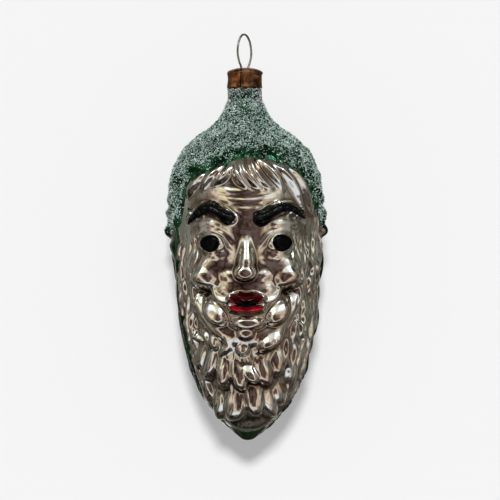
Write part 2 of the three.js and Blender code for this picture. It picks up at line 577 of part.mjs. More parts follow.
// A coat of some thickness that follows the glass one gap away, with lumps on its outside only
function coat(thickness, { floor, ceiling, lump }) {
  const outside = bodySolid(GAP + thickness, { floor, ceiling, lump });
  return outside.subtract(bodySolid(GAP, { floor, ceiling: ceiling + 1 }));
}

function greenLacquer() {
  const skin = coat(LACQUER, { ceiling: HOOD_BASE + 8 });
  return skin.intersect(slab(-2, HOOD_BASE - GAP)).subtract(frontPrism(FACE_OUTLINE));
}

function frostLump(t, z) {
  const around = Math.sin(FROST_LUMPS_AROUND * t + 0.35 * z);
  const upright = Math.sin(((2 * Math.PI) / FROST_LUMP_PITCH) * z + 2 * Math.sin(3 * t));
  return FROST_LUMP * around * upright * (1 - smoothStep(FROST_LUMP_END.from, FROST_LUMP_END.to, z));
}

function frostCoat() {
  const top = capBottom - GAP;
  const skin = coat(FROST, { floor: HOOD_BASE - 8, ceiling: top + 2, lump: frostLump });
  return skin.intersect(slab(HOOD_BASE, top)).subtract(frontPrism(FACE_OUTLINE));
}

const ellipse = ({ x, z, rx, rz }, count = 14) =>
  Array.from({ length: count }, (_, i) => {
    const turn = (2 * Math.PI * i) / count;
    return [x + rx * Math.cos(turn), z + rz * Math.sin(turn)];
  });

// Painted patches, cut from one thin coat over the face
const LEFT_BROW_PAINT = aboveEye([
  [-16.6, 5.3], [-16, 7.3], [-14.2, 9.6], [-11.9, 11.6], [-8.7, 12], [-5.2, 9.3], [-2.9, 7], [-4.9, 5],
  [-7.9, 7], [-11, 8.2], [-12.5, 7.6], [-14.5, 6.7],
]);
const RIGHT_BROW_PAINT = aboveEye([
  [2.1, 8], [4.1, 9.3], [7.2, 10.7], [10.2, 11.3], [12.5, 11.3], [15.4, 10], [16.9, 8.7], [17.2, 6.7],
  [14.2, 8], [12.5, 8.7], [10.2, 8.4], [8.1, 7], [5.4, 4.7], [3.8, 4.4], [2.2, 5.7],
]);
const UPPER_LIP_PAINT = [
  [-4.6, 41.8], [-2.9, 42.6], [-1.5, 43.2], [0, 42.6], [1.4, 43.1], [3.4, 42.7], [4.5, 41.9], [2.8, 40.2],
  [0, 39.7], [-2.7, 40.1],
];
const LOWER_LIP_PAINT = [[-4.6, 39.4], [0, 39.1], [4.6, 39.4], [2.8, 37.7], [0, 37.4], [-2.8, 37.7]];
const paintCoat = coat(PAINT, { floor: 30, ceiling: 75 });
const painted = (outline) => paintCoat.intersect(frontPrism(outline));

function springCap() {
  const rim = capBore + CAP_WALL + CAP_BEAD;
  const flareTop = capBottom + CAP_FLARE_HEIGHT;
  const beadFoot = capSeat - CAP_BEAD_HEIGHT;
  const domeFoot = capTop - CAP_DOME;
  const outer = [
    [0, capTop], [0.45 * capBore, capTop - 0.15 * CAP_DOME], [0.78 * capBore, capTop - 0.5 * CAP_DOME],
    [capBore + 0.1, domeFoot], [rim - 0.1, domeFoot - 0.35], [rim, domeFoot - 0.6],
    [rim - 0.1, capSeat - 0.7], [capBore + CAP_WALL, beadFoot], [capBore + CAP_WALL, flareTop],
    [capBore + CAP_WALL + CAP_FLARE, capBottom],
  ];
  const inner = [
    [capBore + CAP_FLARE, capBottom], [capBore, flareTop], [capBore, beadFoot],
    [capBore + CAP_BEAD, capSeat - 0.65], [capBore + CAP_BEAD, capSeat - 0.3],
    [capBore - 0.05, domeFoot - CAP_WALL], [0.78 * capBore, capTop - 0.5 * CAP_DOME - CAP_WALL],
    [0.45 * capBore, capTop - 0.15 * CAP_DOME - CAP_WALL], [0, capTop - CAP_WALL],
  ];
  const upright = new THREE.Matrix4().makeRotationX(Math.PI / 2);
  const points = [...outer, ...inner].map(([r, z]) => new THREE.Vector2(r, z)).reverse();
  let cap = solidFromGeometry(new THREE.LatheGeometry(points, CAP_SIDES), upright);
  const slit = new THREE.Shape(
    [
      [-SLIT_WIDTH / 2, beadFoot], [-SLIT_WIDTH / 2, flareTop], [-SLIT_MOUTH / 2, capBottom - 1],
      [SLIT_MOUTH / 2, capBottom - 1], [SLIT_WIDTH / 2, flareTop], [SLIT_WIDTH / 2, beadFoot],
    ].map(([x, z]) => new THREE.Vector2(x, z)));
  for (let k = 0; k < SLITS; k++) {
    const cutter = new THREE.ExtrudeGeometry(slit, { depth: rim + 1, bevelEnabled: false });
    const turn = new THREE.Matrix4().makeRotationZ(degrees(-SLIT_TURN + (k * 360) / SLITS));
    cap = cap.subtract(solidFromGeometry(cutter, turn.multiply(upright)));
  }
  for (const side of [-1, 1]) {
    const radius = WIRE_RADIUS + WIRE_CLEARANCE;
    const hole = new THREE.CylinderGeometry(radius, radius, 3 * CAP_DOME + 1, 12);
    const place = new THREE.Matrix4()
      .makeRotationZ(degrees(LOOP_TURN))
      .multiply(new THREE.Matrix4().makeTranslation(side * HOLE_OFFSET, 0, capTop))
      .multiply(upright);
    cap = cap.subtract(solidFromGeometry(hole, place));
  }
  return cap;
}

// One wire: up a spring leg, through a hole, round the loop, down the other hole and leg
function hangerWire() {
  const half = [
    [legSpread - 0.3, -LEG_LENGTH], [legSpread, -0.75 * LEG_LENGTH], [legSpread - 0.1, -0.5 * LEG_LENGTH],
    [(legSpread + HOLE_OFFSET) / 2, -0.22 * LEG_LENGTH], [HOLE_OFFSET, 0],
    [(HOLE_OFFSET + LOOP_HALF_WIDTH) / 2, 0.16 * LOOP_HEIGHT], [0.97 * LOOP_HALF_WIDTH, 0.36 * LOOP_HEIGHT],
    [LOOP_HALF_WIDTH, 0.55 * LOOP_HEIGHT], [0.82 * LOOP_HALF_WIDTH, 0.77 * LOOP_HEIGHT],
    [0.45 * LOOP_HALF_WIDTH, 0.92 * LOOP_HEIGHT],
  ];
  const line = [...half, [0, LOOP_HEIGHT - WIRE_RADIUS], ...mirrored(half, -1).reverse()];
  const turn = degrees(LOOP_TURN);
  const path = new THREE.CatmullRomCurve3(
    line.map(([u, z]) => new THREE.Vector3(u * Math.cos(turn), u * Math.sin(turn), capTop + z)));
  const section = new THREE.Shape();
  section.absarc(0, 0, WIRE_RADIUS, 0, 2 * Math.PI);
  const bend = { extrudePath: path, steps: 52, curveSegments: 4, bevelEnabled: false };
  return solidFromGeometry(new THREE.ExtrudeGeometry(section, bend));
}

const finish = (color, roughness, metalness = 0) =>
  new THREE.MeshStandardMaterial({ color, roughness, metalness });
const MATERIALS = {
  glass: finish(0xb9ada0, 0.12, 1),
  silver: finish(0xc9c6c0, 0.1, 1),
  green: finish(0x1f4a2c, 0.2, 0.4),
  frost: finish(0x8fa596, 0.6),
  black: finish(0x0a0a0b, 0.15),
  red: finish(0x8c0f14, 0.15),
  cap: finish(0x5a3216, 0.45, 0.8),
  wire: finish(0x77746a, 0.3, 0.9),
};

function mesh(name, solid, material) {
  const made = solid.getMesh();
  const geometry = new THREE.BufferGeometry();
  geometry.setAttribute("position", new THREE.BufferAttribute(new Float32Array(made.vertProperties), 3));
  geometry.setIndex(new THREE.BufferAttribute(new Uint32Array(made.triVerts), 1));
  geometry.computeVertexNormals();
  const object = new THREE.Mesh(geometry, material);
  object.name = name;
  return object;
}

const ornament = new THREE.Group();
ornament.add(
  mesh("glass_body", glassBody(), MATERIALS.glass),
  mesh("silver_lining", silverLining(), MATERIALS.silver),
  mesh("green_lacquer", greenLacquer(), MATERIALS.green),
  mesh("frost_coat", frostCoat(), MATERIALS.frost),
  mesh("left_brow_paint", painted(LEFT_BROW_PAINT), MATERIALS.black),
  mesh("right_brow_paint", painted(RIGHT_BROW_PAINT), MATERIALS.black),
  mesh("left_eye_paint", painted(mirrored(ellipse(EYE), -1)), MATERIALS.black),
  mesh("right_eye_paint", painted(ellipse(EYE)), MATERIALS.black),
  mesh("upper_lip_paint", painted(UPPER_LIP_PAINT), MATERIALS.red),
  mesh("lower_lip_paint", painted(LOWER_LIP_PAINT), MATERIALS.red),
  mesh("spring_cap", springCap(), MATERIALS.cap),
  mesh("hanger_wire", hangerWire(), MATERIALS.wire),
);
ornament.position.z = -hookHeight;

export default ornament;
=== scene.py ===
"""Looks of a mould-blown glass tree ornament: a bearded face on the front of a hanging pinecone.

Shapes are written in millimetres. Places on the glass are (x, z): across as seen from the front, and up
from the tip. An angle goes round from the front, positive towards +X.
"""
import math

import bmesh
import bpy
import numpy as np
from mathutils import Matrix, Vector
from mathutils.geometry import delaunay_2d_cdt


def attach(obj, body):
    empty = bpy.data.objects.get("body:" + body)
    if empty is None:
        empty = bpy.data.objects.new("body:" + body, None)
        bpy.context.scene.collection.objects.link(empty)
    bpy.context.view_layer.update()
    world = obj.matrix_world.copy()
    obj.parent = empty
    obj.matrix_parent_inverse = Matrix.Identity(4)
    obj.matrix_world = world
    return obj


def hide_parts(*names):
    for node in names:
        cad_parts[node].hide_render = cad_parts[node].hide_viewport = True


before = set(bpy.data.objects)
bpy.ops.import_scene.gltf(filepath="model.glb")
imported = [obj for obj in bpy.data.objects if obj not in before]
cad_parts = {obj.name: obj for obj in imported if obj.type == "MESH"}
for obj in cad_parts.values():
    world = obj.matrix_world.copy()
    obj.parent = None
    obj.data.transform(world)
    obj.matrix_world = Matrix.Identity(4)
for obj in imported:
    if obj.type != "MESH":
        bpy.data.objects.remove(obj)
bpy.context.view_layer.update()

MM = 0.001
HOOK_HEIGHT = 117.3
CAP_TOP = 107.9
CAP_BOTTOM = 102.1
NECK_TOP = 106.3
NECK_START = 99.0
NECK_RADIUS = 4.35
NECK_BORE = 3.7
WIRE_RADIUS = 0.3
LOOP_TURN = math.radians(55)
FRONT_DEPTH = 0.96
BACK_DEPTH = 0.92
ROUNDING = (82, 96)
HOOD_BASE = 60
HOOD_TOP = 101.7
SEED = 7

# Relief: its blur in cells of the glass grid, how softly its forms join, and how deep fine hair is
SMOOTHING = 1.7
FORM_BLEND = 0.55
HAIR_DEPTH = 0.07
EYE_PLACE = (10.2, 57.1)
EYE_SIZE = (2.8, 2.4)

# Cone scales. The pitch of the rows is a share of the body's half width; half the length of a scale
# is a share of that pitch, and half its width a share of its step round
SCALES_AROUND = 14
SCALE_PITCH = 0.4
SCALE_LENGTH = 0.85
SCALE_WIDTH = 0.52
SCALE_RELIEF = 1.5
SCALE_BLEND = 0.12
FIRST_ROW = 3.0
SCALE_LEAST_WIDTH = 4
FULL_SCALE_WIDTH = 18
HOOD_SOFTENING = 0.5
LEFT_SHALLOWNESS = 0.75

# Where the relief of the face and of the ears fades out: heights, and angles in degrees and radians
FACE_FOOT = (2.4, 4.5)
FACE_HEAD = (83, 86)
FACE_EDGE_LEFT = 66
FACE_EDGE_RIGHT = 84
FACE_EDGE_BLEND = 7
EAR_FOOT = (56, 59)
EAR_HEAD = (67, 70)
EAR_BACK_RADIANS = (1.7, 1.95)

# Coats: their thickness, and how far their edges are tucked into the glass
TUCK = 0.06
LACQUER = 0.16
HOOD_EDGE_TUCK = 0.08
HOOD_LEAST = 0.12
HOOD_COAT = 0.28
FROST_LUMP = 0.25
FROST_LUMPS_AROUND = 22
FROST_LUMP_PITCH = 6.1
CHIPS = 40000
CHIP_SIZE = (0.24, 0.50)
PAINT_LEAST = 0.03
PAINT = 0.16
THICK_PAINT = 0.22
LIP_PAINT = 0.2
PAINT_EDGE = 0.7
PAINT_GRID = 0.22

# Spring cap and wire
CAP_SLITS = 4
SLIT_TURN = math.radians(-13)
SLIT_START = 2.35
SLIT_HALF_WIDTH = 0.12
SLIT_SPREAD = 0.16
CAP_COLUMNS = 240
SHEET = 0.24
HOLE_OFFSET = 1.7
LEG_LENGTH = 10.2
LEG_CLEARANCE = 0.45
LOOP_HEIGHT = 10.0
LOOP_HALF_WIDTH = 3.4

# Height above the tip and half width of the blown body
BODY_OUTLINE = [
    (0, 0), (0.3, 1.3), (0.9, 2.3), (2.9, 4.6), (6.1, 7.9), (9.9, 10.8), (13.9, 13.3), (18, 15.1),
    (21.8, 16.4), (26.7, 17.7), (31.9, 18.9), (36.3, 19.5), (40.6, 20), (45.8, 20.3), (50.8, 20.8),
    (54.8, 21.3), (60, 21.6), (65, 21.4), (70, 21.3), (75, 20.9), (78.3, 20.1), (81.2, 18.9),
    (84.9, 15.9), (87.2, 13.7), (89.5, 10.4), (92.2, 7.5), (94.3, 6.3), (96.3, 5.4),
    (NECK_START, NECK_RADIUS), (NECK_TOP, NECK_RADIUS),
]


def smooth_step(low, high, x):
    s = np.clip((np.asarray(x, float) - low) / (high - low), 0, 1)
    return s * s * (3 - 2 * s)


def smooth_outline(points):
    """Smooth curve through points, without overshoot, as a function of the first value."""
    at, value = (np.array(column, float) for column in zip(*points))
    span = np.diff(at)
    rise = np.diff(value) / span
    slope = np.zeros_like(at)
    slope[0], slope[-1] = rise[0], rise[-1]
    both = rise[:-1] * rise[1:] > 0
    total = np.where(both, rise[:-1] + rise[1:], 1)
    slope[1:-1] = np.where(both, 2 * rise[:-1] * rise[1:] / total, 0)

    def curve(x):
        x = np.clip(x, at[0], at[-1])
        i = np.clip(np.searchsorted(at, x, side="right") - 1, 0, len(at) - 2)
        s = (x - at[i]) / span[i]
        return (
            (2 * s**3 - 3 * s**2 + 1) * value[i]
            + (s**3 - 2 * s**2 + s) * span[i] * slope[i]
            + (3 * s**2 - 2 * s**3) * value[i + 1]
            + (s**3 - s**2) * span[i] * slope[i + 1]
        )

    return curve


half_width = smooth_outline(BODY_OUTLINE)


def on_body(angle, z, lift):
    """Points at an angle and a height, lifted off the plain body along its normal."""
    angle, z, lift = np.broadcast_arrays(angle, z, lift)
    w = half_width(z)
    round_share = smooth_step(*ROUNDING, z)
    flat = np.where(np.cos(angle) > 0, FRONT_DEPTH, BACK_DEPTH) * (1 - round_share) + round_share
    below = np.maximum(z - 0.05, 0)
    slope = (half_width(z + 0.05) - half_width(below)) / (z + 0.05 - below)
    normal = np.stack([np.sin(angle) * flat, -np.cos(angle), -slope * flat], -1)
    normal /= np.linalg.norm(normal, axis=-1, keepdims=True)
    base = np.stack([w * np.sin(angle), -w * flat * np.cos(angle), z], -1)
    return base + normal * lift[..., None]


# Relief forms. Each one raises the height field over the glass near itself.
def along_glass(x, z):
    w = float(half_width(z))
    return w * math.asin(min(max(x / w, -1), 1)), z


def soft_max(a, b, blend):
    h = np.clip(0.5 + 0.5 * (a - b) / blend, 0, 1)
    return b + (a - b) * h + blend * h * (1 - h)


class Relief:
    """A height field sampled at places (u, z), u being the distance round the glass from the front."""

    def __init__(self, u, z, blend):
        self.u, self.z, self.blend = u, z, blend
        self.base = np.zeros(u.shape)
        self.top = np.zeros(u.shape)

    def near(self, u, z, reach_u, reach_z):
        return (np.abs(self.u - u) < reach_u) & (np.abs(self.z - z) < reach_z)

    def swell(self, x, z, rx, rz, height):
        """A broad bump, or a hollow where its height is negative."""
        u0, z0 = along_glass(x, z)
        near = self.near(u0, z0, 3 * rx, 3 * rz)
        distance = ((self.u[near] - u0) / rx) ** 2 + ((self.z[near] - z0) / rz) ** 2
        self.base[near] += height * np.exp(-distance)

    def mound(self, x, z, rx, rz, height, turn=0, fullness=1, up=None, inward=0):
        """A dome. With an angle up, its middle looks that far above level, and inward
        towards the middle of the face."""
        u0, z0 = along_glass(x, z)
        reach = 1.25 * max(rx, rz)
        near = self.near(u0, z0, reach, reach)
        du, dz = self.u[near] - u0, self.z[near] - z0
        c, s = math.cos(math.radians(turn)), math.sin(math.radians(turn))
        distance = ((du * c + dz * s) / rx) ** 2 + ((dz * c - du * s) / rz) ** 2
        form = height * (1 - distance**fullness)
        if up is not None:
            taper = float(half_width(z0 + 0.5) - half_width(z0 - 0.5))
            rise = math.tan(math.radians(inward)) * math.copysign(1, u0)
            form = form + rise * du - (math.tan(math.radians(up)) + taper) * dz
        self.top[near] = soft_max(self.top[near], form, self.blend)

    def ridge(self, points, radii, heights, steps=10, fullness=1):
        """A round ridge along a line, with its radii and heights spread along it."""
        line = spline([along_glass(x, z) for x, z in points], steps)
        radii = spread(radii, len(line))
        heights = spread(heights, len(line))
        low, high = line.min(0) - 1.3 * radii.max(), line.max(0) + 1.3 * radii.max()
        near = (self.u > low[0]) & (self.u < high[0]) & (self.z > low[1]) & (self.z < high[1])
        u, z = self.u[near], self.z[near]
        best = np.full(u.shape, -9.0)
        parts = zip(line[:-1], line[1:], radii[:-1], radii[1:], heights[:-1], heights[1:])
        for a, b, r0, r1, h0, h1 in parts:
            step = b - a
            share = np.clip(((u - a[0]) * step[0] + (z - a[1]) * step[1]) / (step @ step), 0, 1)
            gap = (u - a[0] - share * step[0]) ** 2 + (z - a[1] - share * step[1]) ** 2
            radius = r0 + (r1 - r0) * share
            best = np.maximum(best, (h0 + (h1 - h0) * share) * (1 - (gap / radius**2) ** fullness))
        self.top[near] = soft_max(self.top[near], best, self.blend)

    def height(self):
        return self.base + self.top


def curve_through(p, steps):
    """Places along a Catmull-Rom curve, from the second point up to the last but one."""
    share = np.linspace(0, 1, steps, endpoint=False)[:, None]
    runs = []
    for a, b, c, d in zip(p, p[1:], p[2:], p[3:]):
        square = (2 * a - 5 * b + 4 * c - d) * share**2
        cube = (3 * b - a - 3 * c + d) * share**3
        runs.append(0.5 * (2 * b + (c - a) * share + square + cube))
    return np.vstack(runs)


def spline(points, steps):
    """Smooth open curve through points, its last point included."""
    p = np.array(points, float)
    p = np.vstack([2 * p[0] - p[1], p, 2 * p[-1] - p[-2]])
    return np.vstack([curve_through(p, steps), p[-2:-1]])


def spread(values, count):
    """A few values stretched evenly over a count of places."""
    return np.interp(np.linspace(0, 1, count), np.linspace(0, 1, len(values)), values)


def mirror(points, side):
    return [(side * x, z) for x, z in points]


# Broad swells and hollows of the face: place, half sizes and height. The second list stands on both sides.
MIDDLE_SWELLS = [
    (0, 64.6, 5.0, 2.6, 0.55), (0, 60.8, 2.6, 1.6, -0.2), (-3.4, 75.8, 5.0, 2.4, 0.5),
    (0, 40.6, 9.9, 5.8, 1.3),
]
SIDE_SWELLS = [
    (10.4, 57.7, 4.9, 3.5, -1.3), (17.7, 65.3, 2.3, 7.3, -0.5), (11.9, 43.6, 2.2, 1.8, -1.9),
    (12.3, 49.9, 5.2, 4.0, 2.3), (5.6, 53.4, 1.6, 2.2, -0.6),
]


def face_swells(relief):
    for form in MIDDLE_SWELLS:
        relief.swell(*form)
    for side in (-1, 1):
        for x, z, rx, rz, height in SIDE_SWELLS:
            relief.swell(side * x, z, rx, rz, height)


# Folds of the forehead: where their ends and middles lie, half their length, and their height
FOREHEAD_FOLDS = [(73.0, 71.2, 10.5, 0.45), (70.6, 68.8, 9.5, 0.5), (67.6, 66.5, 4.2, 0.4)]


def forehead(relief):
    for ends, middle, half, height in FOREHEAD_FOLDS:
        line = [(half * share, middle + (ends - middle) * share * share) for share in (-1, -0.5, 0, 0.5, 1)]
        relief.ridge(line, [0.8, 1.05, 1.1, 1.05, 0.8], [0.05, height, height, height, 0.05])


BROW_LINE = [(16.6, 64), (14.6, 65.5), (12.2, 67), (9.3, 66.9), (7, 65.6), (5.4, 64.7), (3.9, 64)]
BROW_RADII = [1.1, 1.5, 1.8, 2.0, 2.0, 1.9, 1.6]
BROW_HEIGHTS = [0.7, 1.3, 1.9, 2.2, 2.2, 2.0, 1.4]
BROW_HAIR_START = (4.2, 62.8)
BROW_HAIR_PITCH = 2.0
BROW_HAIR_FEET = (0.5, 1.6, 2.4, 2.8, 2.2, 1.6)


def brow(relief, side):
    relief.ridge(mirror(BROW_LINE, side), BROW_RADII, BROW_HEIGHTS, 10, 1.2)
    for k, foot in enumerate(BROW_HAIR_FEET):
        x = BROW_HAIR_START[0] + BROW_HAIR_PITCH * k
        low = BROW_HAIR_START[1] + foot
        hair = [(x, low), (x + 0.9, low + 1.5), (x + 2.1, low + 2.2)]
        relief.ridge(mirror(hair, side), [0.45, 0.7, 0.4], [2.0, 2.7, 1.5])


def eye(relief, side):
    relief.mound(side * 10.3, 56.9, 4.3, 3, 1.9, 0, 2)
    relief.mound(side * 11.3, 62, 4.3, 1.7, 0.5, side * 2, 2.5, 0)
    lid = [(15.6, 57.4), (13.4, 59.9), (10.2, 60.4), (7, 59.4), (4.8, 57)]
    relief.ridge(mirror(lid, side), [0.8, 1.0, 0.8], [0.4, 0.9, 0.5])
    relief.mound(side * 8.3, 54.2, 4.2, 1.7, 0.8, side * 10, 1.2)


def cheek(relief, side):
    relief.mound(side * 11.0 - 0.2, 47.8, 3.7, 3.4, 1.6, side * 8, 2, 20, 10)
    laugh_line = [(15.6, 50.6), (14.6, 46.4), (11.4, 44.6), (8.4, 45.6)]
    relief.ridge(mirror(laugh_line, side), [0.8, 1.1, 1.1, 0.8], [0.6, 1.2, 1.3, 0.8])
    relief.mound(side * 8.9, 38, 4.7, 2.6, 2.0, side * 48, 2.4, 21, 14)


def nose(relief):
    bridge = [(0.1, 57.8), (0.1, 55.8), (0.1, 53.8), (0, 51.8)]
    relief.ridge(bridge, [1.3, 1.7, 2.2, 2.6], [0.3, 1.2, 2.3, 3.4], 14, 1.4)
    relief.mound(-0.3, 49.0, 3.1, 2.5, 3.8, 0, 3, 0)
    for side in (-1, 1):
        relief.mound(side * 4.4, 47.3, 2.5, 1.7, 0.6, side * 14, 1.3, -12)


def moustache(relief, side):
    relief.mound(side * 5.2, 43.9, 3.5, 2.2, 0.6, side * -8, 1.2, -4, 4)
    tail = [(3.6, 41.2), (5.6, 40.7), (7.6, 41.4), (8.9, 43.2), (9.4, 45.4)]
    relief.ridge(mirror(tail, side), [0.8, 1.0, 1.0, 1.0, 0.8], [0.8, 1.0, 1.0, 0.9, 0.4], 10, 1.2)


def mouth(relief):
    upper = [(-4.4, 41.5), (-2.2, 42.2), (0, 41.7), (2.2, 42.2), (4.4, 41.5)]
    lower = [(-4.4, 38.9), (-2.2, 38.4), (0, 38.3), (2.2, 38.4), (4.4, 38.9)]
    relief.ridge(upper, [0.8, 1.2, 0.8], [1.9, 2.8, 1.9])
    relief.ridge(lower, [0.8, 1.1, 0.8], [1.9, 2.9, 1.9])
    relief.mound(0.2, 34.5, 5.0, 2.1, 1.7, 0, 2, 2)
    relief.mound(-0.3, 31.6, 3.0, 1.9, 1.6, 0, 1.6, 0)


FACE_ROLL = [
    (16.8, 55), (16.4, 51), (15.7, 46), (14.2, 40.6), (11.6, 35.6), (7.8, 32), (4, 30.2), (-0.2, 29.6),
]


def face_roll(relief, side):
    """The fold round the lower face, from the cheek to below the chin."""
    relief.ridge(mirror(FACE_ROLL, side), [1.5, 1.8, 1.9, 2.1, 2.2], [0.1, 0.8, 1.1, 1.0, 0.7], 6, 1.2)


def ear(relief, side):
    relief.mound(side * 21.7, 60.6, 2.4, 2.1, 2.1, 0, 1.4)
    relief.ridge(mirror([(20.4, 67.8), (21.7, 65.6), (21.7, 62.6)], side), [0.8, 1.0, 0.8], [1, 1.9, 1.6])
    relief.ridge(mirror([(19.2, 66.4), (19.9, 63.6), (19.2, 59.6)], side), [0.6, 0.8, 0.6], [0.5, 0.9, 0.5])


# Locks of hair, each a line from its root to its free end
FORELOCK = [
    [(-0.6, 81.4), (-0.6, 78.3), (1.2, 75.1), (4.3, 72.3)],
    [(1.6, 81.6), (2.1, 78.3), (4.1, 75), (7.4, 72.3)],
    [(4.3, 80.5), (6.4, 78), (8.6, 75.4), (10.4, 72.3)],
    [(-2.2, 81), (-2.6, 78.3), (-1.6, 75.1), (0.7, 72.5)],
    [(-3.7, 80), (-4.8, 77.2), (-6.6, 75.3), (-8.9, 73.6)],
    [(-6.6, 79), (-8.4, 76.9), (-10.4, 75.1), (-12, 72.6)],
    [(-10.1, 77.5), (-12.8, 75.1), (-14.8, 73), (-16.4, 70.5)],
    [(7.2, 79.6), (11, 76.6), (13.9, 72.4), (15.9, 67.6)],
    [(10.1, 79.2), (14.2, 76), (17, 71.3), (18.8, 66.4)],
]

HAIRLINE_CURLS = [
    [(3.2, 82.6), (5.6, 84.4), (8.8, 84.6), (10.8, 83), (10, 81.4)],
    [(9.6, 82.4), (12.4, 82.8), (14.8, 81), (14.6, 79.2)], [(-1.4, 82.8), (0.4, 84.6), (2.8, 84.4)],
    [(-6.4, 81), (-4.6, 82.8), (-2.2, 82.6)], [(-11.4, 79.2), (-9.4, 80.6), (-7.2, 80.2)],
    [(-16.4, 76.6), (-14.6, 78.6), (-12.2, 78.4)], [(-18.8, 72.6), (-18.6, 75.4), (-16.8, 76.6)],
    [(15.6, 77.8), (17.6, 76.8), (18.6, 74.2)], [(18.4, 73.4), (19.8, 71.4), (20, 68.8)],
]

SIDE_STRANDS = [
    [(-16.2, 41.8), (-16.8, 35.4), (-15.4, 27.8), (-13.6, 20.3), (-11, 13.3), (-7.5, 7)],
    [(-17.7, 44.1), (-18.3, 35.4), (-16.8, 26.7), (-14.8, 18.6), (-12.2, 11.6), (-8.7, 5.8)],
    [(-14.5, 34.8), (-15.1, 30.2), (-13.6, 23.2), (-11.9, 16.2), (-9.6, 10.4), (-6.7, 5.8)],
    [(-18.9, 58), (-19.4, 47.8), (-18.6, 40.6), (-19.1, 33.3), (-17.7, 26.1), (-15.7, 18.8)],
    [(-17.7, 55.1), (-18, 48.7), (-17.1, 43.5), (-17.7, 39.1)],
    [(-12.5, 24.4), (-11.9, 19.7), (-10.4, 15.1), (-8.1, 11)],
    [(-15.4, 33.1), (-14.2, 30.7), (-12.5, 29.6)], [(-12.8, 31.9), (-11, 30.2), (-10.1, 27.3)],
    [(-14.5, 38.9), (-15.7, 34.8), (-14.5, 29.6), (-13.9, 25.5)],
    [(16.2, 40.6), (16.2, 34.2), (15.1, 27.3), (13.3, 20.3), (11.6, 13.9), (8.1, 7.5)],
    [(17.7, 43.5), (18.6, 37.1), (17.4, 29), (15.9, 22), (13.9, 15.7), (10.1, 9.3)],
    [(19.3, 58), (18.6, 50), (19.6, 40), (18.8, 29.6), (17.2, 22), (14.6, 15.1)],
    [(18, 56.8), (17.1, 53.4), (18.6, 49.3), (17.4, 44.7), (18.8, 40.6)],
    [(20.6, 58), (21, 53.6), (19.9, 49.3), (20.7, 44.1), (19.8, 37)],
    [(13, 30.7), (13.6, 26.1), (12.2, 20.9), (11.3, 15.7), (9.6, 11)],
    [(11.6, 29), (11, 24.4), (12.2, 19.7)], [(14.5, 36), (13.3, 31.9), (14.5, 28.4), (13.6, 24.4)],
    [(16.2, 35.4), (15.1, 31.9), (15.9, 28.4)],
]

BEARD_STROKES = [
    [(-7.4, 25.6), (-6, 27), (-4.4, 28.7)], [(-7.2, 31), (-5.5, 29.4), (-4.6, 27.4)],
    [(2.6, 26.4), (5, 27.2), (7.6, 28)],
]

BEARD_HEM = [(-9.4, 14), (-7.2, 8.6), (-3.9, 5.0), (0.3, 3.9), (4.7, 5.2), (8, 8.8), (9.9, 13.6)]

# Full locks of the beard: place, half sizes, height, lean, and how far their middles look up and inward
BEARD_LOCKS = [
    (-9.3, 30.1, 1.3, 2.6, 1.1, 20, 20, 12), (-1.2, 27.6, 1.9, 1.8, 1.1, 0, 24, 0),
    (7.1, 30.3, 5.0, 2.1, 2.3, 34, 21, 10), (-12.9, 25.6, 2.0, 4.4, 0.9, -20, 0, 8),
    (-10.0, 23.6, 2.1, 4.8, 1.3, -17, 0, 6), (-6.7, 21.1, 2.3, 4.3, 1.6, 4, 1, 2),
    (-2.8, 20.4, 2.2, 4.7, 1.6, 21, 1, 0), (0.6, 20.7, 2.1, 3.5, 1.7, 48, 20, 0),
    (4.7, 21.2, 2.6, 4.2, 1.6, 14, 1, 2), (9.0, 23.6, 2.4, 4.0, 1.2, -12, 0, 6),
    (12.4, 22.5, 1.8, 4.6, 0.9, -10, 0, 8), (-8.3, 13.2, 2.0, 4.8, 0.8, 15, 0, 6),
    (-3.6, 12.6, 3.4, 4.4, 1.1, 0, 1, 0), (1.9, 13.8, 2.8, 4.6, 1.3, 5, 1, 0),
    (6.0, 13.2, 2.2, 4.2, 0.8, 12, 0, 4), (9.2, 15.2, 2.4, 3.6, 0.9, -5, 0, 8),
    (-11.9, 17.4, 1.6, 4.8, 0.7, 22, 0, 8),
]

# Their free ends, which look up
BEARD_TIPS = [(-6.5, 18.7), (-1.9, 17.9), (1.6, 10.9), (-3.6, 9.7), (5.4, 18.6), (-10.8, 20.2)]


def hair_ripple(u, z):
    """Fine strands down the sides of the beard and across its middle."""
    away = np.abs(u)
    wave = 1.1 * np.sin(0.55 * z + 0.4 * u) + 0.6 * np.sin(1.3 * z - 0.8 * u)
    strands = np.sin(3.1 * u + 0.5 * z * np.sign(u) + wave) + 0.45 * np.sin(5.6 * u - 0.6 * z + 1.7 * wave)
    sides = 1.8 * smooth_step(13.5, 16, away + 0.12 * (z - 40)) * (1 - smooth_step(24, 30, away))
    middle = 0.45 * smooth_step(33, 29, z)
    in_beard = (1 - smooth_step(56, 62, z)) * smooth_step(3, 8, z)
    return HAIR_DEPTH * strands * np.maximum(sides, middle) * in_beard


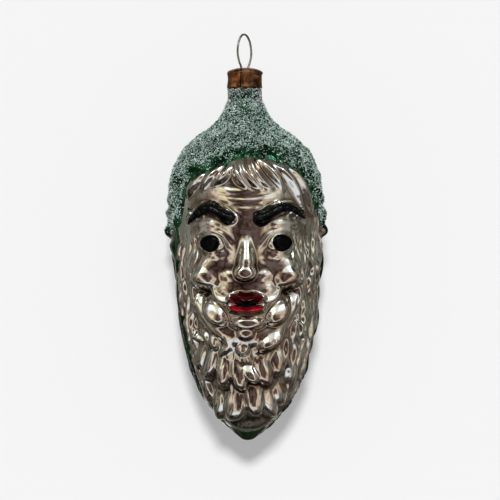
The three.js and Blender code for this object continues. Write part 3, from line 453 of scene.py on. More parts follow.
def front_relief(u, z):
    """Height of the bearded face over the plain body."""
    relief = Relief(u, z, FORM_BLEND)
    face_swells(relief)
    for line in SIDE_STRANDS:
        relief.ridge(line, [0.6, 0.95, 0.95, 0.6], [0.8, 1.25, 1.25, 0.7])
    for x, z, rx, rz, height, lean, up, inward in BEARD_LOCKS:
        relief.mound(x, z, rx, rz, height, lean, 1.8, up, inward)
    for x, z in BEARD_TIPS:
        relief.mound(x, z, 1.4, 1.5, 1.7, 0, 1.6, 19)
    for line in BEARD_STROKES:
        relief.ridge(line, [0.7, 1.1, 0.8], [0.5, 1.0, 0.5])
    relief.ridge(BEARD_HEM, [1.2, 1.5, 1.6, 1.5, 1.2], [0.4, 0.6, 0.6, 0.6, 0.4])
    forehead(relief)
    for line in FORELOCK:
        relief.ridge(line, [0.9, 1.3, 1.35, 1.2, 0.7], [0.4, 1.6, 2.1, 1.9, 0.8])
    for line in HAIRLINE_CURLS:
        relief.ridge(line, [0.9, 1.3, 0.9], [1.2, 2.2, 1.2])
    nose(relief)
    mouth(relief)
    for side in (-1, 1):
        for form in (brow, eye, cheek, moustache, face_roll, ear):
            form(relief, side)
    return relief.height()


def scale_relief(angle, z):
    """Rows of rounded scales whose free ends point down."""
    step = 2 * math.pi / SCALES_AROUND
    top = np.zeros(np.broadcast(angle, z).shape)
    row, odd = FIRST_ROW, 0
    while row < NECK_START:
        wide = max(float(half_width(row)), SCALE_LEAST_WIDTH)
        v = (z - row) / (SCALE_PITCH * wide * SCALE_LENGTH)
        middle = (np.round(angle / step - odd / 2) + odd / 2) * step
        u = (angle - middle) / (SCALE_WIDTH * step)
        lean = 1 - 0.25 * v - 0.35 * smooth_step(0.1, 0.9, v)
        form = SCALE_RELIEF * min(1, wide / FULL_SCALE_WIDTH) * lean * (1 - u * u - v * v)
        top = np.where(np.abs(v) < 1.2, soft_max(top, form, SCALE_BLEND), top)
        row += SCALE_PITCH * wide
        odd = 1 - odd
    return top * smooth_step(0.5, 4, z) * (1 - smooth_step(90, 96, z))


def relief_at(angle, z):
    """Height of all the relief: face and ears in front, scales behind and below."""
    degrees = np.degrees(angle)
    edge = np.where(degrees < 0, FACE_EDGE_LEFT, FACE_EDGE_RIGHT)
    around = 1 - smooth_step(0, 1, (np.abs(degrees) - edge) / FACE_EDGE_BLEND)
    face = around * (1 - smooth_step(*FACE_HEAD, z)) * smooth_step(*FACE_FOOT, z)
    ear_band = smooth_step(*EAR_FOOT, z) * (1 - smooth_step(*EAR_HEAD, z))
    ears = ear_band * (1 - smooth_step(*EAR_BACK_RADIANS, np.abs(angle)))
    share = np.maximum(face, ears)
    front = front_relief(half_width(z) * angle, z)
    under_hood = 1 - HOOD_SOFTENING * smooth_step(62, 80, z)
    left_flank = smooth_step(-150, -115, degrees) * (1 - smooth_step(-70, -55, degrees))
    shallow = 1 - LEFT_SHALLOWNESS * left_flank * (1 - smooth_step(50, 60, z))
    return share * front + (1 - share) * scale_relief(angle, z) * under_hood * shallow


def blur(field, sigma, axis):
    """Soft average along one axis of a grid, sigma in cells."""
    reach = int(3 * sigma) + 1
    weights = np.exp(-0.5 * (np.arange(-reach, reach + 1) / sigma) ** 2)
    weights /= weights.sum()
    count = field.shape[axis]
    padded = np.take(field, np.clip(np.arange(-reach, count + reach), 0, count - 1), axis)
    return sum(w * np.take(padded, np.arange(i, i + count), axis) for i, w in enumerate(weights))


# The glass grid: fine on the face, wider behind it
GRID_FOOT = 0.12
ANGLES = np.radians(np.concatenate([
    np.linspace(-180, -82, 70, endpoint=False),
    np.linspace(-82, 98, 320, endpoint=False),
    np.linspace(98, 180, 60),
]))
HEIGHTS = np.concatenate([
    np.linspace(GRID_FOOT, 4, 16, endpoint=False),
    np.linspace(4, 84, 330, endpoint=False),
    np.linspace(84, NECK_START, 20),
])
GRID_RELIEF = relief_at(*np.meshgrid(ANGLES, HEIGHTS))
GRID_RELIEF = blur(blur(GRID_RELIEF, SMOOTHING, 0), SMOOTHING, 1)
GRID_RELIEF += hair_ripple(half_width(HEIGHTS)[:, None] * ANGLES[None, :], HEIGHTS[:, None])


def sampled_relief(angle, z):
    """The glass's relief anywhere, read from its grid."""
    angle = (angle + math.pi) % (2 * math.pi) - math.pi
    j = np.clip(np.searchsorted(ANGLES, angle) - 1, 0, len(ANGLES) - 2)
    i = np.clip(np.searchsorted(HEIGHTS, z) - 1, 0, len(HEIGHTS) - 2)
    s = np.clip((angle - ANGLES[j]) / (ANGLES[j + 1] - ANGLES[j]), 0, 1)
    t = np.clip((z - HEIGHTS[i]) / (HEIGHTS[i + 1] - HEIGHTS[i]), 0, 1)
    low = GRID_RELIEF[i, j] * (1 - s) + GRID_RELIEF[i, j + 1] * s
    high = GRID_RELIEF[i + 1, j] * (1 - s) + GRID_RELIEF[i + 1, j + 1] * s
    return low * (1 - t) + high * t


def make_object(name, points, faces, smooth=True):
    """Mesh object from points in millimetres above the tip, and faces."""
    points = np.asarray(points, float).reshape(-1, 3)
    mesh = bpy.data.meshes.new(name)
    mesh.from_pydata(((points - (0, 0, HOOK_HEIGHT)) * MM).tolist(), [], faces)
    mesh.polygons.foreach_set("use_smooth", [smooth] * len(mesh.polygons))
    mesh.update()
    mesh.validate()
    obj = bpy.data.objects.new(name, mesh)
    bpy.context.scene.collection.objects.link(obj)
    return obj


def grid_faces(rows, columns, wrap=False, first=0):
    """Quads over a grid of points, closed round where it wraps."""
    j = np.arange(columns if wrap else columns - 1)
    i = np.arange(rows - 1)[:, None]
    a = first + i * columns + j
    b = first + i * columns + (j + 1) % columns
    return np.stack([a, b, b + columns, a + columns], -1).reshape(-1, 4).tolist()


def set_value(obj, name, values):
    """A number for each vertex, which its material reads."""
    attribute = obj.data.attributes.new(name, "FLOAT", "POINT")
    attribute.data.foreach_set("value", np.asarray(values, np.float32).ravel())


# How many cells round a place count as its surroundings, and how hollow the neck counts
HOLLOW_REACH = 6
# How dark the neck's silvering is painted: painted shade under the cap, and worn silvering
NECK_SHADE_AND_WEAR = 0.9


def hollow_share(field, sigma):
    """How far each place of a height field lies below its surroundings, in millimetres."""
    wide = blur(blur(field, sigma, 0), sigma, 1)
    return np.clip(wide - field, -1, 1)


# Radius and height of the neck's rings, up its outside, over its rim and down its inside
NECK_RINGS = [
    (NECK_RADIUS, NECK_TOP - 0.3), (NECK_RADIUS - 0.1, NECK_TOP - 0.06), (NECK_RADIUS - 0.3, NECK_TOP),
    (NECK_BORE + 0.1, NECK_TOP - 0.06), (NECK_BORE, NECK_TOP - 0.3), (NECK_BORE, NECK_START),
    (5.0, 95.5), (8.5, 90.5),
]


def ring(radius, angles, z):
    """A level ring of points round the axis."""
    return np.stack([radius * np.sin(angles), -radius * np.cos(angles), np.full(angles.shape, float(z))], -1)


def make_glass():
    """The blown body, with its neck, its rim and the inside of its neck."""
    outer = on_body(ANGLES[None, :-1], HEIGHTS[:, None], GRID_RELIEF[:, :-1])
    angles = ANGLES[:-1]
    rings = [ring(radius, angles, z) for radius, z in NECK_RINGS]
    tip = np.array([[0, 0, 0.0]])
    points = np.vstack([outer.reshape(-1, 3)] + rings + [tip])
    columns = len(angles)
    rows = len(HEIGHTS) + len(NECK_RINGS)
    faces = grid_faces(rows, columns, wrap=True)
    last = len(points) - 1
    faces += [(last, (j + 1) % columns, j) for j in range(columns)]
    glass = make_object("blown_glass", points, faces)
    # How far each place lies below its surroundings; the silvering is painted darker there, as tarnish and as
    # painted shade
    hollow = np.zeros(len(points))
    hollow[:outer.shape[0] * columns] = hollow_share(GRID_RELIEF, HOLLOW_REACH)[:, :-1].ravel()
    # The neck and its inside are darkened as painted shade under the cap and as worn silvering
    hollow[outer.shape[0] * columns:] = NECK_SHADE_AND_WEAR
    set_value(glass, "hollow", hollow)
    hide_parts("glass_body")
    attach(glass, "glass")
    return glass


# The lacquer's edges beside the face and under the beard, as angles for heights and heights for angles
LACQUER_LEFT = smooth_outline([
    (0, -62), (8, -66), (17, -67), (23, -69), (29, -64), (35, -68), (40, -70), (46, -73), (52, -66),
    (60, -61), (70, -60)])
LACQUER_RIGHT = smooth_outline([(0, 64), (7, 67), (12, 78), (17, 84), (30, 86), (42, 88), (60, 86), (70, 86)])
TIP_EDGE = smooth_outline([(-95, 4.6), (-50, 4.4), (-20, 3.4), (0, 3.1), (20, 3.2), (50, 4.2), (95, 4.6)])
HOOD_EDGE = smooth_outline([
    (-180, 60), (-120, 59.5), (-90, 59.7), (-62, 62.5), (-57, 68), (-52, 74), (-43, 75.7), (-30, 77.4),
    (-12, 79.6), (0, 80.8), (21, 80.4), (38, 78.1), (48, 76.4), (57, 73), (68, 67), (84, 62.5),
    (120, 60.5), (180, 60)])


# The lacquer on the tip, in front: its angles in degrees
TIP_FROM = -62
TIP_TO = 64


def sheet_heights(rows, columns, thickness, edges):
    """Thickness of a coat over its grid, thinning to nothing at the named edges."""
    s = np.linspace(0, 1, columns)[None, :]
    t = np.linspace(0, 1, rows)[:, None]
    fade = np.ones((rows, columns))
    distances = {"l": s * columns, "r": (1 - s) * columns, "b": t * rows, "t": (1 - t) * rows}
    for letter in edges:
        fade = fade * smooth_step(-0.5, 3, distances[letter])
    return thickness * fade - TUCK * (1 - fade)


def lacquer_edges(z):
    """The lacquer's wavering left and right edge at a height, in degrees."""
    wobble = 1.3 * np.sin(z * 0.9) + 0.8 * np.sin(z * 2.3 + 1)
    return LACQUER_LEFT(z) + wobble, LACQUER_RIGHT(z) + 0.6 * wobble


def make_lacquer():
    """The green lacquer behind the face and on the tip."""
    rows, columns = 300, 300
    t = np.linspace(0, 1, rows)[:, None]
    z = GRID_FOOT + t * (HOOD_BASE + 4 - GRID_FOOT) + np.zeros((1, columns))
    left, right = lacquer_edges(z)
    share = np.linspace(0, 1, columns)[None, :]
    angle = np.radians(right * (1 - share) + (left + 360) * share)
    lift = sampled_relief(angle, z) + sheet_heights(rows, columns, LACQUER, "lr")
    back = on_body(angle, z, lift).reshape(-1, 3)

    tip_rows, tip_columns = 40, 120
    share = np.linspace(0, 1, tip_columns)[None, :]
    level = np.linspace(0, 1, tip_rows)[:, None]
    degrees = TIP_FROM + (TIP_TO - TIP_FROM) * share + 0 * level
    z = GRID_FOOT + level * (TIP_EDGE(degrees) + 0.12 * np.sin(degrees * 0.11) - GRID_FOOT)
    left, right = lacquer_edges(z)
    angle = np.radians(left * (1 - share) + right * share)
    lift = sampled_relief(angle, z) + sheet_heights(tip_rows, tip_columns, LACQUER, "t")
    front = on_body(angle, z, lift).reshape(-1, 3)

    point = np.array([[0, 0, -LACQUER]])
    points = np.vstack([back, front, point])
    faces = grid_faces(rows, columns) + grid_faces(tip_rows, tip_columns, first=rows * columns)
    last = len(points) - 1
    faces += [(last, j + 1, j) for j in range(columns - 1)]
    faces += [(last, rows * columns + j + 1, rows * columns + j) for j in range(tip_columns - 1)]
    lacquer = make_object("green_lacquer_skin", points, faces)
    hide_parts("green_lacquer")
    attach(lacquer, "glass")
    return lacquer


def hood_places(angle, share):
    """Height on the hood at a share of the way from its lower edge to the cap."""
    degrees = (np.degrees(angle) + 180) % 360 - 180
    tuft = 0.35 * np.sin(degrees * 0.42) + 0.25 * np.sin(degrees * 1.05 + 2)
    edge = HOOD_EDGE(degrees) + tuft * smooth_step(0, 0.02, 1 - np.abs(degrees) / 180)
    return edge + (HOOD_TOP - edge) * share


def lumps(angle, z, phases, fine):
    """Gentle unevenness made of a few crossed waves."""
    u = half_width(z) * angle
    total = 0
    for k in range(1, 7):
        a, b = phases[2 * k], phases[2 * k + 1]
        total = total + np.sin(fine * (u * math.cos(a) + z * math.sin(a)) * (0.7 + 0.15 * k) + b)
    return total / 6


def hood_lift(angle, z, share):
    """Height of the hood's coat over the plain body, lumpy but for its lower edge."""
    phases = np.random.default_rng(SEED).uniform(0, 2 * math.pi, 20)
    rise = smooth_step(0, 0.06, share)
    around = np.sin(FROST_LUMPS_AROUND * angle + 0.35 * z)
    upright = np.sin(2 * math.pi / FROST_LUMP_PITCH * z + 2 * np.sin(3 * angle))
    lumpy = FROST_LUMP * around * upright + 0.25 * lumps(angle, z, phases[::-1], 2.6)
    fade = (1 - smooth_step(92, 97, z)) * smooth_step(0.08, 0.24, share)
    ground = sampled_relief(angle, np.minimum(z, NECK_START)) + HOOD_LEAST
    return ground + rise * (HOOD_COAT + lumpy * fade)


def make_hood():
    """The hood's lacquer, which shows dark and wet between the chips and bare along its edge."""
    rows, columns = 150, 420
    share = np.linspace(0, 1, rows)[:, None]
    angle = np.linspace(-math.pi, math.pi, columns, endpoint=False)[None, :]
    z = hood_places(angle, share)
    lift = hood_lift(angle, z, share)
    lift[0] = sampled_relief(angle, z[:1]) - HOOD_EDGE_TUCK
    points = on_body(angle + 0 * share, z, lift)
    hood = make_object("hood_lacquer", points, grid_faces(rows, columns, wrap=True))
    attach(hood, "glass")
    return hood


def chip_shape(rng):
    """Six corners of one shard, around the origin, about one millimetre across."""
    ways = [(1, 0, 0), (-1, 0, 0), (0, 1, 0), (0, -1, 0), (0, 0, 1), (0, 0, -1)]
    corners = np.array(ways, float) * 0.5
    return corners * rng.uniform(0.55, 1.15, (6, 1)) + rng.uniform(-0.16, 0.16, (6, 3))


CHIP_CORNERS = 6
CHIP_FACES = [(0, 2, 4), (2, 1, 4), (1, 3, 4), (3, 0, 4), (2, 0, 5), (1, 2, 5), (3, 1, 5), (0, 3, 5)]

# Where the frost stops short of the hairline: degrees round, how wide, and how far up in mm
BARE_SPOTS = [(20, 11, 2.3), (-4, 6, 1.5), (-38, 7, 1.5), (-60, 6, 1.2)]


def make_chips():
    """Crushed glass strewn over the hood, sparser along its lower edge."""
    rng = np.random.default_rng(SEED)
    tries = CHIPS * 3
    angle = rng.uniform(-math.pi, math.pi, tries)
    share = rng.uniform(0, 1, tries)
    z = hood_places(angle, share)
    edge = hood_places(angle, 0 * share)
    area = half_width(np.minimum(z, NECK_TOP)) * (HOOD_TOP - edge)
    levels, level_gap = np.linspace(HOOD_BASE, HOOD_TOP, 400, retstep=True)
    slope = np.gradient(half_width(levels), level_gap)
    weight = area * np.sqrt(1 + np.interp(z, levels, slope) ** 2)
    keep = rng.uniform(0, weight.max(), tries) < weight
    phases = rng.uniform(0, 2 * math.pi, 20)
    patchy = lumps(angle, z, phases, 0.9)
    degrees = np.degrees(angle)
    bare = sum(reach * np.exp(-((degrees - middle) / width) ** 2) for middle, width, reach in BARE_SPOTS)
    cover = smooth_step(0.2, 2.4, z - edge - bare + 1.4 * patchy)
    keep &= rng.uniform(0, 1, tries) < 0.06 + 0.94 * cover
    angle, z, share, patchy = (values[keep][:CHIPS] for values in (angle, z, share, patchy))
    lift = hood_lift(angle, z, share)
    size = rng.uniform(*CHIP_SIZE, len(angle))
    centres = on_body(angle, z, lift + 0.2 * size)
    points, faces = [], []
    for centre, big in zip(centres, size):
        first = len(points) * CHIP_CORNERS
        turn = np.linalg.qr(rng.normal(size=(3, 3)))[0]
        points.append(centre + chip_shape(rng) @ turn.T * big)
        faces += [(first + a, first + b, first + c) for a, b, c in CHIP_FACES]
    shade = np.repeat(np.clip(rng.uniform(0, 1, len(angle)) + 0.25 * patchy, 0, 1), CHIP_CORNERS)
    lilac = np.repeat(smooth_step(95, 102, z + 2 * patchy), CHIP_CORNERS)
    chips = make_object("crushed_glass_chips", np.vstack(points), faces, smooth=False)
    set_value(chips, "shade", shade)
    set_value(chips, "lilac", lilac)
    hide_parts("frost_coat")
    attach(chips, "glass")
    return chips


def closed_curve(outline, steps=6):
    """Smooth closed curve through an outline's points."""
    p = np.array(outline, float)
    return curve_through(np.vstack([p[-1:], p, p[:2]]), steps)


def distance_to(edge, places):
    """How far each place is from the nearest point of an edge."""
    return np.min(np.linalg.norm(places[:, None] - edge[None], axis=2), axis=1)


def fill_outline(edge):
    """Places on a grid inside a closed curve, and the triangles that join them to it."""
    low, high = edge.min(0), edge.max(0)
    across, up = (np.arange(low[k], high[k], PAINT_GRID) for k in (0, 1))
    inner = np.stack([grid.ravel() for grid in np.meshgrid(across, up)], -1)
    inner = inner[distance_to(edge, inner) > 0.6 * PAINT_GRID]
    everything = [Vector(p) for p in np.vstack([edge, inner])]
    loop = [list(range(len(edge)))]
    flat, _, triangles, *_ = delaunay_2d_cdt(everything, [], loop, 1, 1e-6)
    flat = np.array([(p.x, p.y) for p in flat])
    used = np.unique([i for t in triangles for i in t])
    return flat[used], [tuple(np.searchsorted(used, t)) for t in triangles]


def make_paint(name, node, outline, thickness=PAINT, blackening=None):
    """A puddle of enamel inside an outline, thickest in its middle."""
    edge = closed_curve(outline)
    flat, triangles = fill_outline(edge)
    count = len(flat)
    distance = distance_to(edge, flat)
    z = flat[:, 1]
    angle = np.arcsin(np.clip(flat[:, 0] / (half_width(z) + 1), -1, 1))
    for _ in range(3):
        angle = np.arcsin(np.clip(flat[:, 0] / (half_width(z) + sampled_relief(angle, z)), -1, 1))
    relief = sampled_relief(angle, z)
    body = PAINT_LEAST + thickness * np.sqrt(np.clip(distance / PAINT_EDGE, 0, 1))
    top = on_body(angle, z, relief + body)
    bottom = on_body(angle, z, relief - TUCK)
    faces = [tuple(reversed(t)) if signed_area(flat, t) < 0 else tuple(t) for t in triangles]
    borders = boundary(faces)
    under = [tuple(count + i for i in reversed(t)) for t in faces]
    walls = [(b, a, a + count, b + count) for a, b in borders]
    paint = make_object(name, np.vstack([top, bottom]), faces + under + walls)
    set_value(paint, "blackening", np.tile(blackening(flat) if blackening else np.zeros(count), 2))
    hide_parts(node)
    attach(paint, "glass")
    return paint


def signed_area(points, triangle):
    a, b, c = (points[i] for i in triangle)
    return (b[0] - a[0]) * (c[1] - a[1]) - (c[0] - a[0]) * (b[1] - a[1])


def boundary(faces):
    """Directed edges that only one face has."""
    edges = {(face[i], face[(i + 1) % 3]) for face in faces for i in range(3)}
    return [(a, b) for a, b in edges if (b, a) not in edges]


# Outlines of the enamel, as seen from the front
LEFT_BROW = [
    (-16.6, 62.4), (-16, 64.4), (-14.2, 66.7), (-11.9, 68.7), (-8.7, 69.1), (-7, 67.6), (-5.2, 66.4),
    (-3.5, 65.5), (-2.9, 64.1), (-4.9, 62.1), (-6.7, 62.9), (-7.9, 64.1), (-9.3, 64.8), (-11, 65.3),
    (-12.5, 64.7), (-14.5, 63.8),
]
RIGHT_BROW = [
    (2.3, 65.8), (4.1, 66.4), (6.4, 67.6), (8.1, 67.9), (10.2, 68.4), (12.5, 68.4), (15.4, 67.1),
    (16.9, 65.8), (17.2, 63.8), (15.7, 64.1), (14.2, 65.1), (12.5, 65.8), (10.2, 65.5), (8.1, 64.1),
    (6.7, 62.8), (5.4, 61.8), (3.8, 61.5), (2.2, 62.8), (2, 64.4),
]
UPPER_LIP = [
    (-4.8, 41.8), (-4.3, 42.7), (-3.0, 42.9), (-1.6, 43.5), (0, 43), (1.5, 43.4), (3.5, 42.9),
    (4.8, 41.9), (3.8, 41.0), (2.8, 39.8), (0, 39.35), (-2.7, 39.7), (-3.8, 41.0),
]
LOWER_LIP = [
    (-4.8, 39.5), (-3.9, 39.6), (-2.6, 39.35), (0, 39.25), (2.6, 39.35), (4.2, 39.7), (4.7, 39.2),
    (3.8, 38.2), (2, 37.6), (0, 37.4), (-2.8, 37.6), (-4.4, 38.4),
]


def between_lips(flat):
    """How black the upper lip is: all of it somewhat, as painted shade of a lip that faces down, and the gap
    of the mouth fully.
    """
    wide = 1 - smooth_step(2.6, 3.9, np.abs(flat[:, 0]))
    return np.maximum(0.6, wide * (1 - smooth_step(40.5, 41.2, flat[:, 1])))


def eye_outline(side):
    (x, z), (rx, rz) = EYE_PLACE, EYE_SIZE
    turns = np.linspace(0, 2 * math.pi, 12, endpoint=False)
    uneven = 1 + 0.05 * np.sin(3 * turns + side)
    return [(side * x + rx * r * math.cos(a), z + rz * r * math.sin(a)) for a, r in zip(turns, uneven)]


# The cap's outside from the middle of its top to its lower edge: radius, and height from its top
CAP_PROFILE = [
    (0.02, 0), (1.2, -0.03), (2.4, -0.12), (3.5, -0.36), (4.2, -0.62), (4.7, -0.86), (5.05, -1.12),
    (5.2, -1.42), (5.2, -1.72), (5.08, -2.0), (4.97, -2.3), (4.95, -2.9), (4.95, -3.6), (4.98, -4.3),
    (5.05, -5.0), (5.12, -5.5), (5.2, -5.8),
]
# A dent pressed into the front of the skirt: its depth, its place and half size round and up
PRESS_DEPTH = 0.28
PRESS_TURN = (6, 11)
PRESS_LEVEL = (103.6, 1.1)


def cap_ring(row, radius, z, slit):
    """One ring of the cap, dented by hand, with its columns drawn back from the slits."""
    per_leaf = CAP_COLUMNS // CAP_SLITS
    leaf = 2 * math.pi / CAP_SLITS
    start = np.arange(CAP_COLUMNS) // per_leaf * leaf + SLIT_TURN
    share = np.arange(CAP_COLUMNS) % per_leaf / (per_leaf - 1)
    half = SLIT_HALF_WIDTH + SLIT_SPREAD * float(smooth_step(CAP_TOP - 3.4, CAP_BOTTOM, z))
    opening = half / radius if slit else 0
    turn = start + opening + share * (leaf - 2 * opening)
    dent = 0.05 * np.sin(3 * turn + 0.4 * row) + 0.04 * np.sin(7 * turn + 1.3 * row)
    press = np.exp(-((np.degrees(turn) - PRESS_TURN[0]) / PRESS_TURN[1]) ** 2)
    press *= PRESS_DEPTH * math.exp(-((z - PRESS_LEVEL[0]) / PRESS_LEVEL[1]) ** 2)
    return ring(radius + dent * min(1, radius / 4) - press, turn, z)


def make_cap():
    """The spring cap: a domed top with a rolled shoulder, and a skirt slit in four places."""
    rings = [cap_ring(row, r, CAP_TOP + dz, dz < -SLIT_START) for row, (r, dz) in enumerate(CAP_PROFILE)]
    per_leaf = CAP_COLUMNS // CAP_SLITS
    open_from = next(row for row, (_, dz) in enumerate(CAP_PROFILE) if dz < -SLIT_START)
    faces = []
    for i in range(len(CAP_PROFILE) - 1):
        for j in range(CAP_COLUMNS):
            if (j + 1) % per_leaf == 0 and i >= open_from - 1:
                continue
            a, b = i * CAP_COLUMNS + j, i * CAP_COLUMNS + (j + 1) % CAP_COLUMNS
            faces.append((a, a + CAP_COLUMNS, b + CAP_COLUMNS, b))
    cap = make_object("pressed_cap", np.vstack(rings), faces)
    work = bmesh.new()
    work.from_mesh(cap.data)
    bmesh.ops.remove_doubles(work, verts=work.verts, dist=1e-6)
    work.to_mesh(cap.data)
    work.free()
    solid = cap.modifiers.new("sheet", "SOLIDIFY")
    solid.thickness = SHEET * MM
    solid.offset = -1
    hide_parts("spring_cap")
    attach(cap, "cap")
    return cap


def make_tube(name, path, radius, sides=14):
    """A round tube with domed ends along a path."""
    ahead = np.gradient(path, axis=0)
    ahead /= np.linalg.norm(ahead, axis=1, keepdims=True)
    across = np.cross(ahead, (0.577, 0.577, 0.577))
    for i in range(len(path)):
        if i:
            across[i] = across[i - 1] - ahead[i] * (across[i - 1] @ ahead[i])
        across[i] /= np.linalg.norm(across[i])
    beside = np.cross(ahead, across)
    turns = np.linspace(0, 2 * math.pi, sides, endpoint=False)[None, :, None]
    rings = path[:, None] + radius * (np.cos(turns) * across[:, None] + np.sin(turns) * beside[:, None])
    ends = [path[0] - 0.5 * radius * ahead[0], path[-1] + 0.5 * radius * ahead[-1]]
    first, last = len(path) * sides, len(path) * sides + 1
    top = (len(path) - 1) * sides
    faces = grid_faces(len(path), sides, wrap=True)
    faces += [(first, (j + 1) % sides, j) for j in range(sides)]
    faces += [(last, top + j, top + (j + 1) % sides) for j in range(sides)]
    return make_object(name, np.vstack([rings.reshape(-1, 3), ends]), faces)


def make_wire():
    """One springy wire: up a leg, round the loop and down the other leg."""
    foot, leg, hole = NECK_BORE - WIRE_RADIUS - LEG_CLEARANCE, LEG_LENGTH, HOLE_OFFSET
    loop, half = LOOP_HEIGHT, LOOP_HALF_WIDTH
    side = [
        (foot - 0.3, -leg), (foot, -0.75 * leg), (foot - 0.1, -0.5 * leg), ((foot + hole) / 2, -0.22 * leg),
        (hole, 0), ((hole + half) / 2, 0.16 * loop), (0.97 * half, 0.36 * loop), (half, 0.55 * loop),
        (0.82 * half, 0.77 * loop), (0.45 * half, 0.92 * loop),
    ]
    line = side + [(0, loop - WIRE_RADIUS)] + mirror(reversed(side), -1)
    route = spline(line, 8)
    bend = 0.05 * np.sin(0.12 * np.arange(len(route)))
    c, s = math.cos(LOOP_TURN), math.sin(LOOP_TURN)
    path = np.stack([route[:, 0] * c - bend * s, route[:, 0] * s + bend * c, CAP_TOP + route[:, 1]], -1)
    wire = make_tube("bent_wire", path, WIRE_RADIUS)
    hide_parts("hanger_wire")
    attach(wire, "hanger")
    return wire


# Materials
def set_sockets(node, values):
    """Gives a node's own sockets plain values; a line in a key stands for a space in the socket's name."""
    for key, value in values.items():
        node.inputs[key.replace("_", " ")].default_value = value
    return node


def new_material(name, **values):
    """A principled material, with its plain values on the shader's own sockets."""
    material = bpy.data.materials.new(name)
    material.use_nodes = True
    shader = set_sockets(material.node_tree.nodes["Principled BSDF"], values)
    return material, material.node_tree, shader


def add_node(tree, kind, **values):
    return set_sockets(tree.nodes.new(kind), values)


def noise_at(tree, scale, detail=4.0, roughness=0.55, distortion=0.0):
    """Noise over the object's own coordinates, scale in features per metre."""
    place = add_node(tree, "ShaderNodeTexCoord")
    noise = add_node(
        tree, "ShaderNodeTexNoise", Scale=scale, Detail=detail, Roughness=roughness, Distortion=distortion)
    tree.links.new(place.outputs["Object"], noise.inputs["Vector"])
    return noise.outputs["Fac"]


def ramp(tree, source, stops):
    """Colours along a value: (place, colour) pairs."""
    node = add_node(tree, "ShaderNodeValToRGB")
    elements = node.color_ramp.elements
    while len(elements) < len(stops):
        elements.new(0.5)
    for element, (place, colour) in zip(elements, stops):
        element.position = place
        element.color = (*colour, 1)
    tree.links.new(source, node.inputs["Fac"])
    return node.outputs["Color"]


def grey(value):
    return (value, value, value)


def mix(tree, kind, factor, a, b):
    """Mixes two colours; factor, a and b are sockets or plain values."""
    node = add_node(tree, "ShaderNodeMix")
    node.data_type = "RGBA"
    node.blend_type = kind
    for name, holds, value in (("Factor", "VALUE", factor), ("A", "RGBA", a), ("B", "RGBA", b)):
        socket = next(s for s in node.inputs if s.name == name and s.type == holds)
        fill_socket(tree, socket, (*value, 1) if isinstance(value, tuple) else value)
    return next(s for s in node.outputs if s.type == "RGBA")


def fill_socket(tree, socket, value):
    """Gives a socket a plain value or a link."""
    if isinstance(value, bpy.types.NodeSocket):
        tree.links.new(value, socket)
    else:
        socket.default_value = value


def math_node(tree, operation, *values):
    node = tree.nodes.new("ShaderNodeMath")
    node.operation = operation
    for socket, value in zip(node.inputs, values):
        fill_socket(tree, socket, value)
    return node.outputs[0]


def axis_of(tree, source, axis):
    """One coordinate out of a place or a direction."""
    split = add_node(tree, "ShaderNodeSeparateXYZ")
    tree.links.new(source, split.inputs[0])
    return split.outputs[axis]


def map_range(tree, source, low, high):
    """A value stretched so that low becomes 0 and high becomes 1."""
    node = add_node(tree, "ShaderNodeMapRange", From_Min=low, From_Max=high)
    tree.links.new(source, node.inputs["Value"])
    return node


def attribute(tree, name):
    """A number that the mesh carries for each vertex."""
    node = add_node(tree, "ShaderNodeAttribute")
    node.attribute_name = name
    return node.outputs["Fac"]


def add_bump(tree, shader, source, strength, distance):
    node = add_node(tree, "ShaderNodeBump", Strength=strength, Distance=distance)
    tree.links.new(source, node.inputs["Height"])
    tree.links.new(node.outputs["Normal"], shader.inputs["Normal"])


def silver_material():
    """Aged silvering behind clear glass: warm, faintly spotted, brown in the hollows: tarnish and painted
    crease shade.
    """
    material, tree, shader = new_material("aged_silvering_and_crease_shade", Metallic=1.0, Roughness=0.06)
    # Darker the deeper a place lies in the relief: partly tarnish, partly painted shade in the creases
    hollow = ramp(tree, attribute(tree, "hollow"), [
        (0.0, (0.87, 0.86, 0.84)), (0.20, (0.80, 0.78, 0.74)), (0.52, (0.40, 0.36, 0.31)),
        (0.85, (0.10, 0.08, 0.06))])
    blotch = ramp(tree, noise_at(tree, 75, 4, 0.55, 0.6), [
        (0.34, (0.66, 0.50, 0.42)), (0.46, (0.95, 0.90, 0.84)), (0.56, (1.0, 1.0, 0.97)),
        (0.68, (0.84, 0.89, 0.80))])
    tint = mix(tree, "MULTIPLY", 0.85, hollow, blotch)
    spots = ramp(tree, noise_at(tree, 900, 3, 0.6), [(0.64, (1, 1, 1)), (0.72, (0.35, 0.27, 0.20))])
    tree.links.new(mix(tree, "MULTIPLY", 0.6, tint, spots), shader.inputs["Base Color"])
    rough = ramp(tree, noise_at(tree, 160, 4), [(0.35, grey(0.06)), (0.75, grey(0.13))])
    tree.links.new(rough, shader.inputs["Roughness"])
    add_bump(tree, shader, noise_at(tree, 240, 2), 0.20, 0.0006)
    return material


def lacquer_material(name, thin, middle, thick):
    """Clear green lacquer over silver, darker where it lies thick."""
    material, tree, shader = new_material(
        name, Metallic=0.9, Roughness=0.14, Coat_Weight=0.25, Coat_Roughness=0.05)
    tint = ramp(tree, noise_at(tree, 120, 4, 0.6), [(0.32, thick), (0.52, middle), (0.74, thin)])
    tree.links.new(tint, shader.inputs["Base Color"])
    add_bump(tree, shader, noise_at(tree, 350, 2), 0.06, 0.0003)
    return material


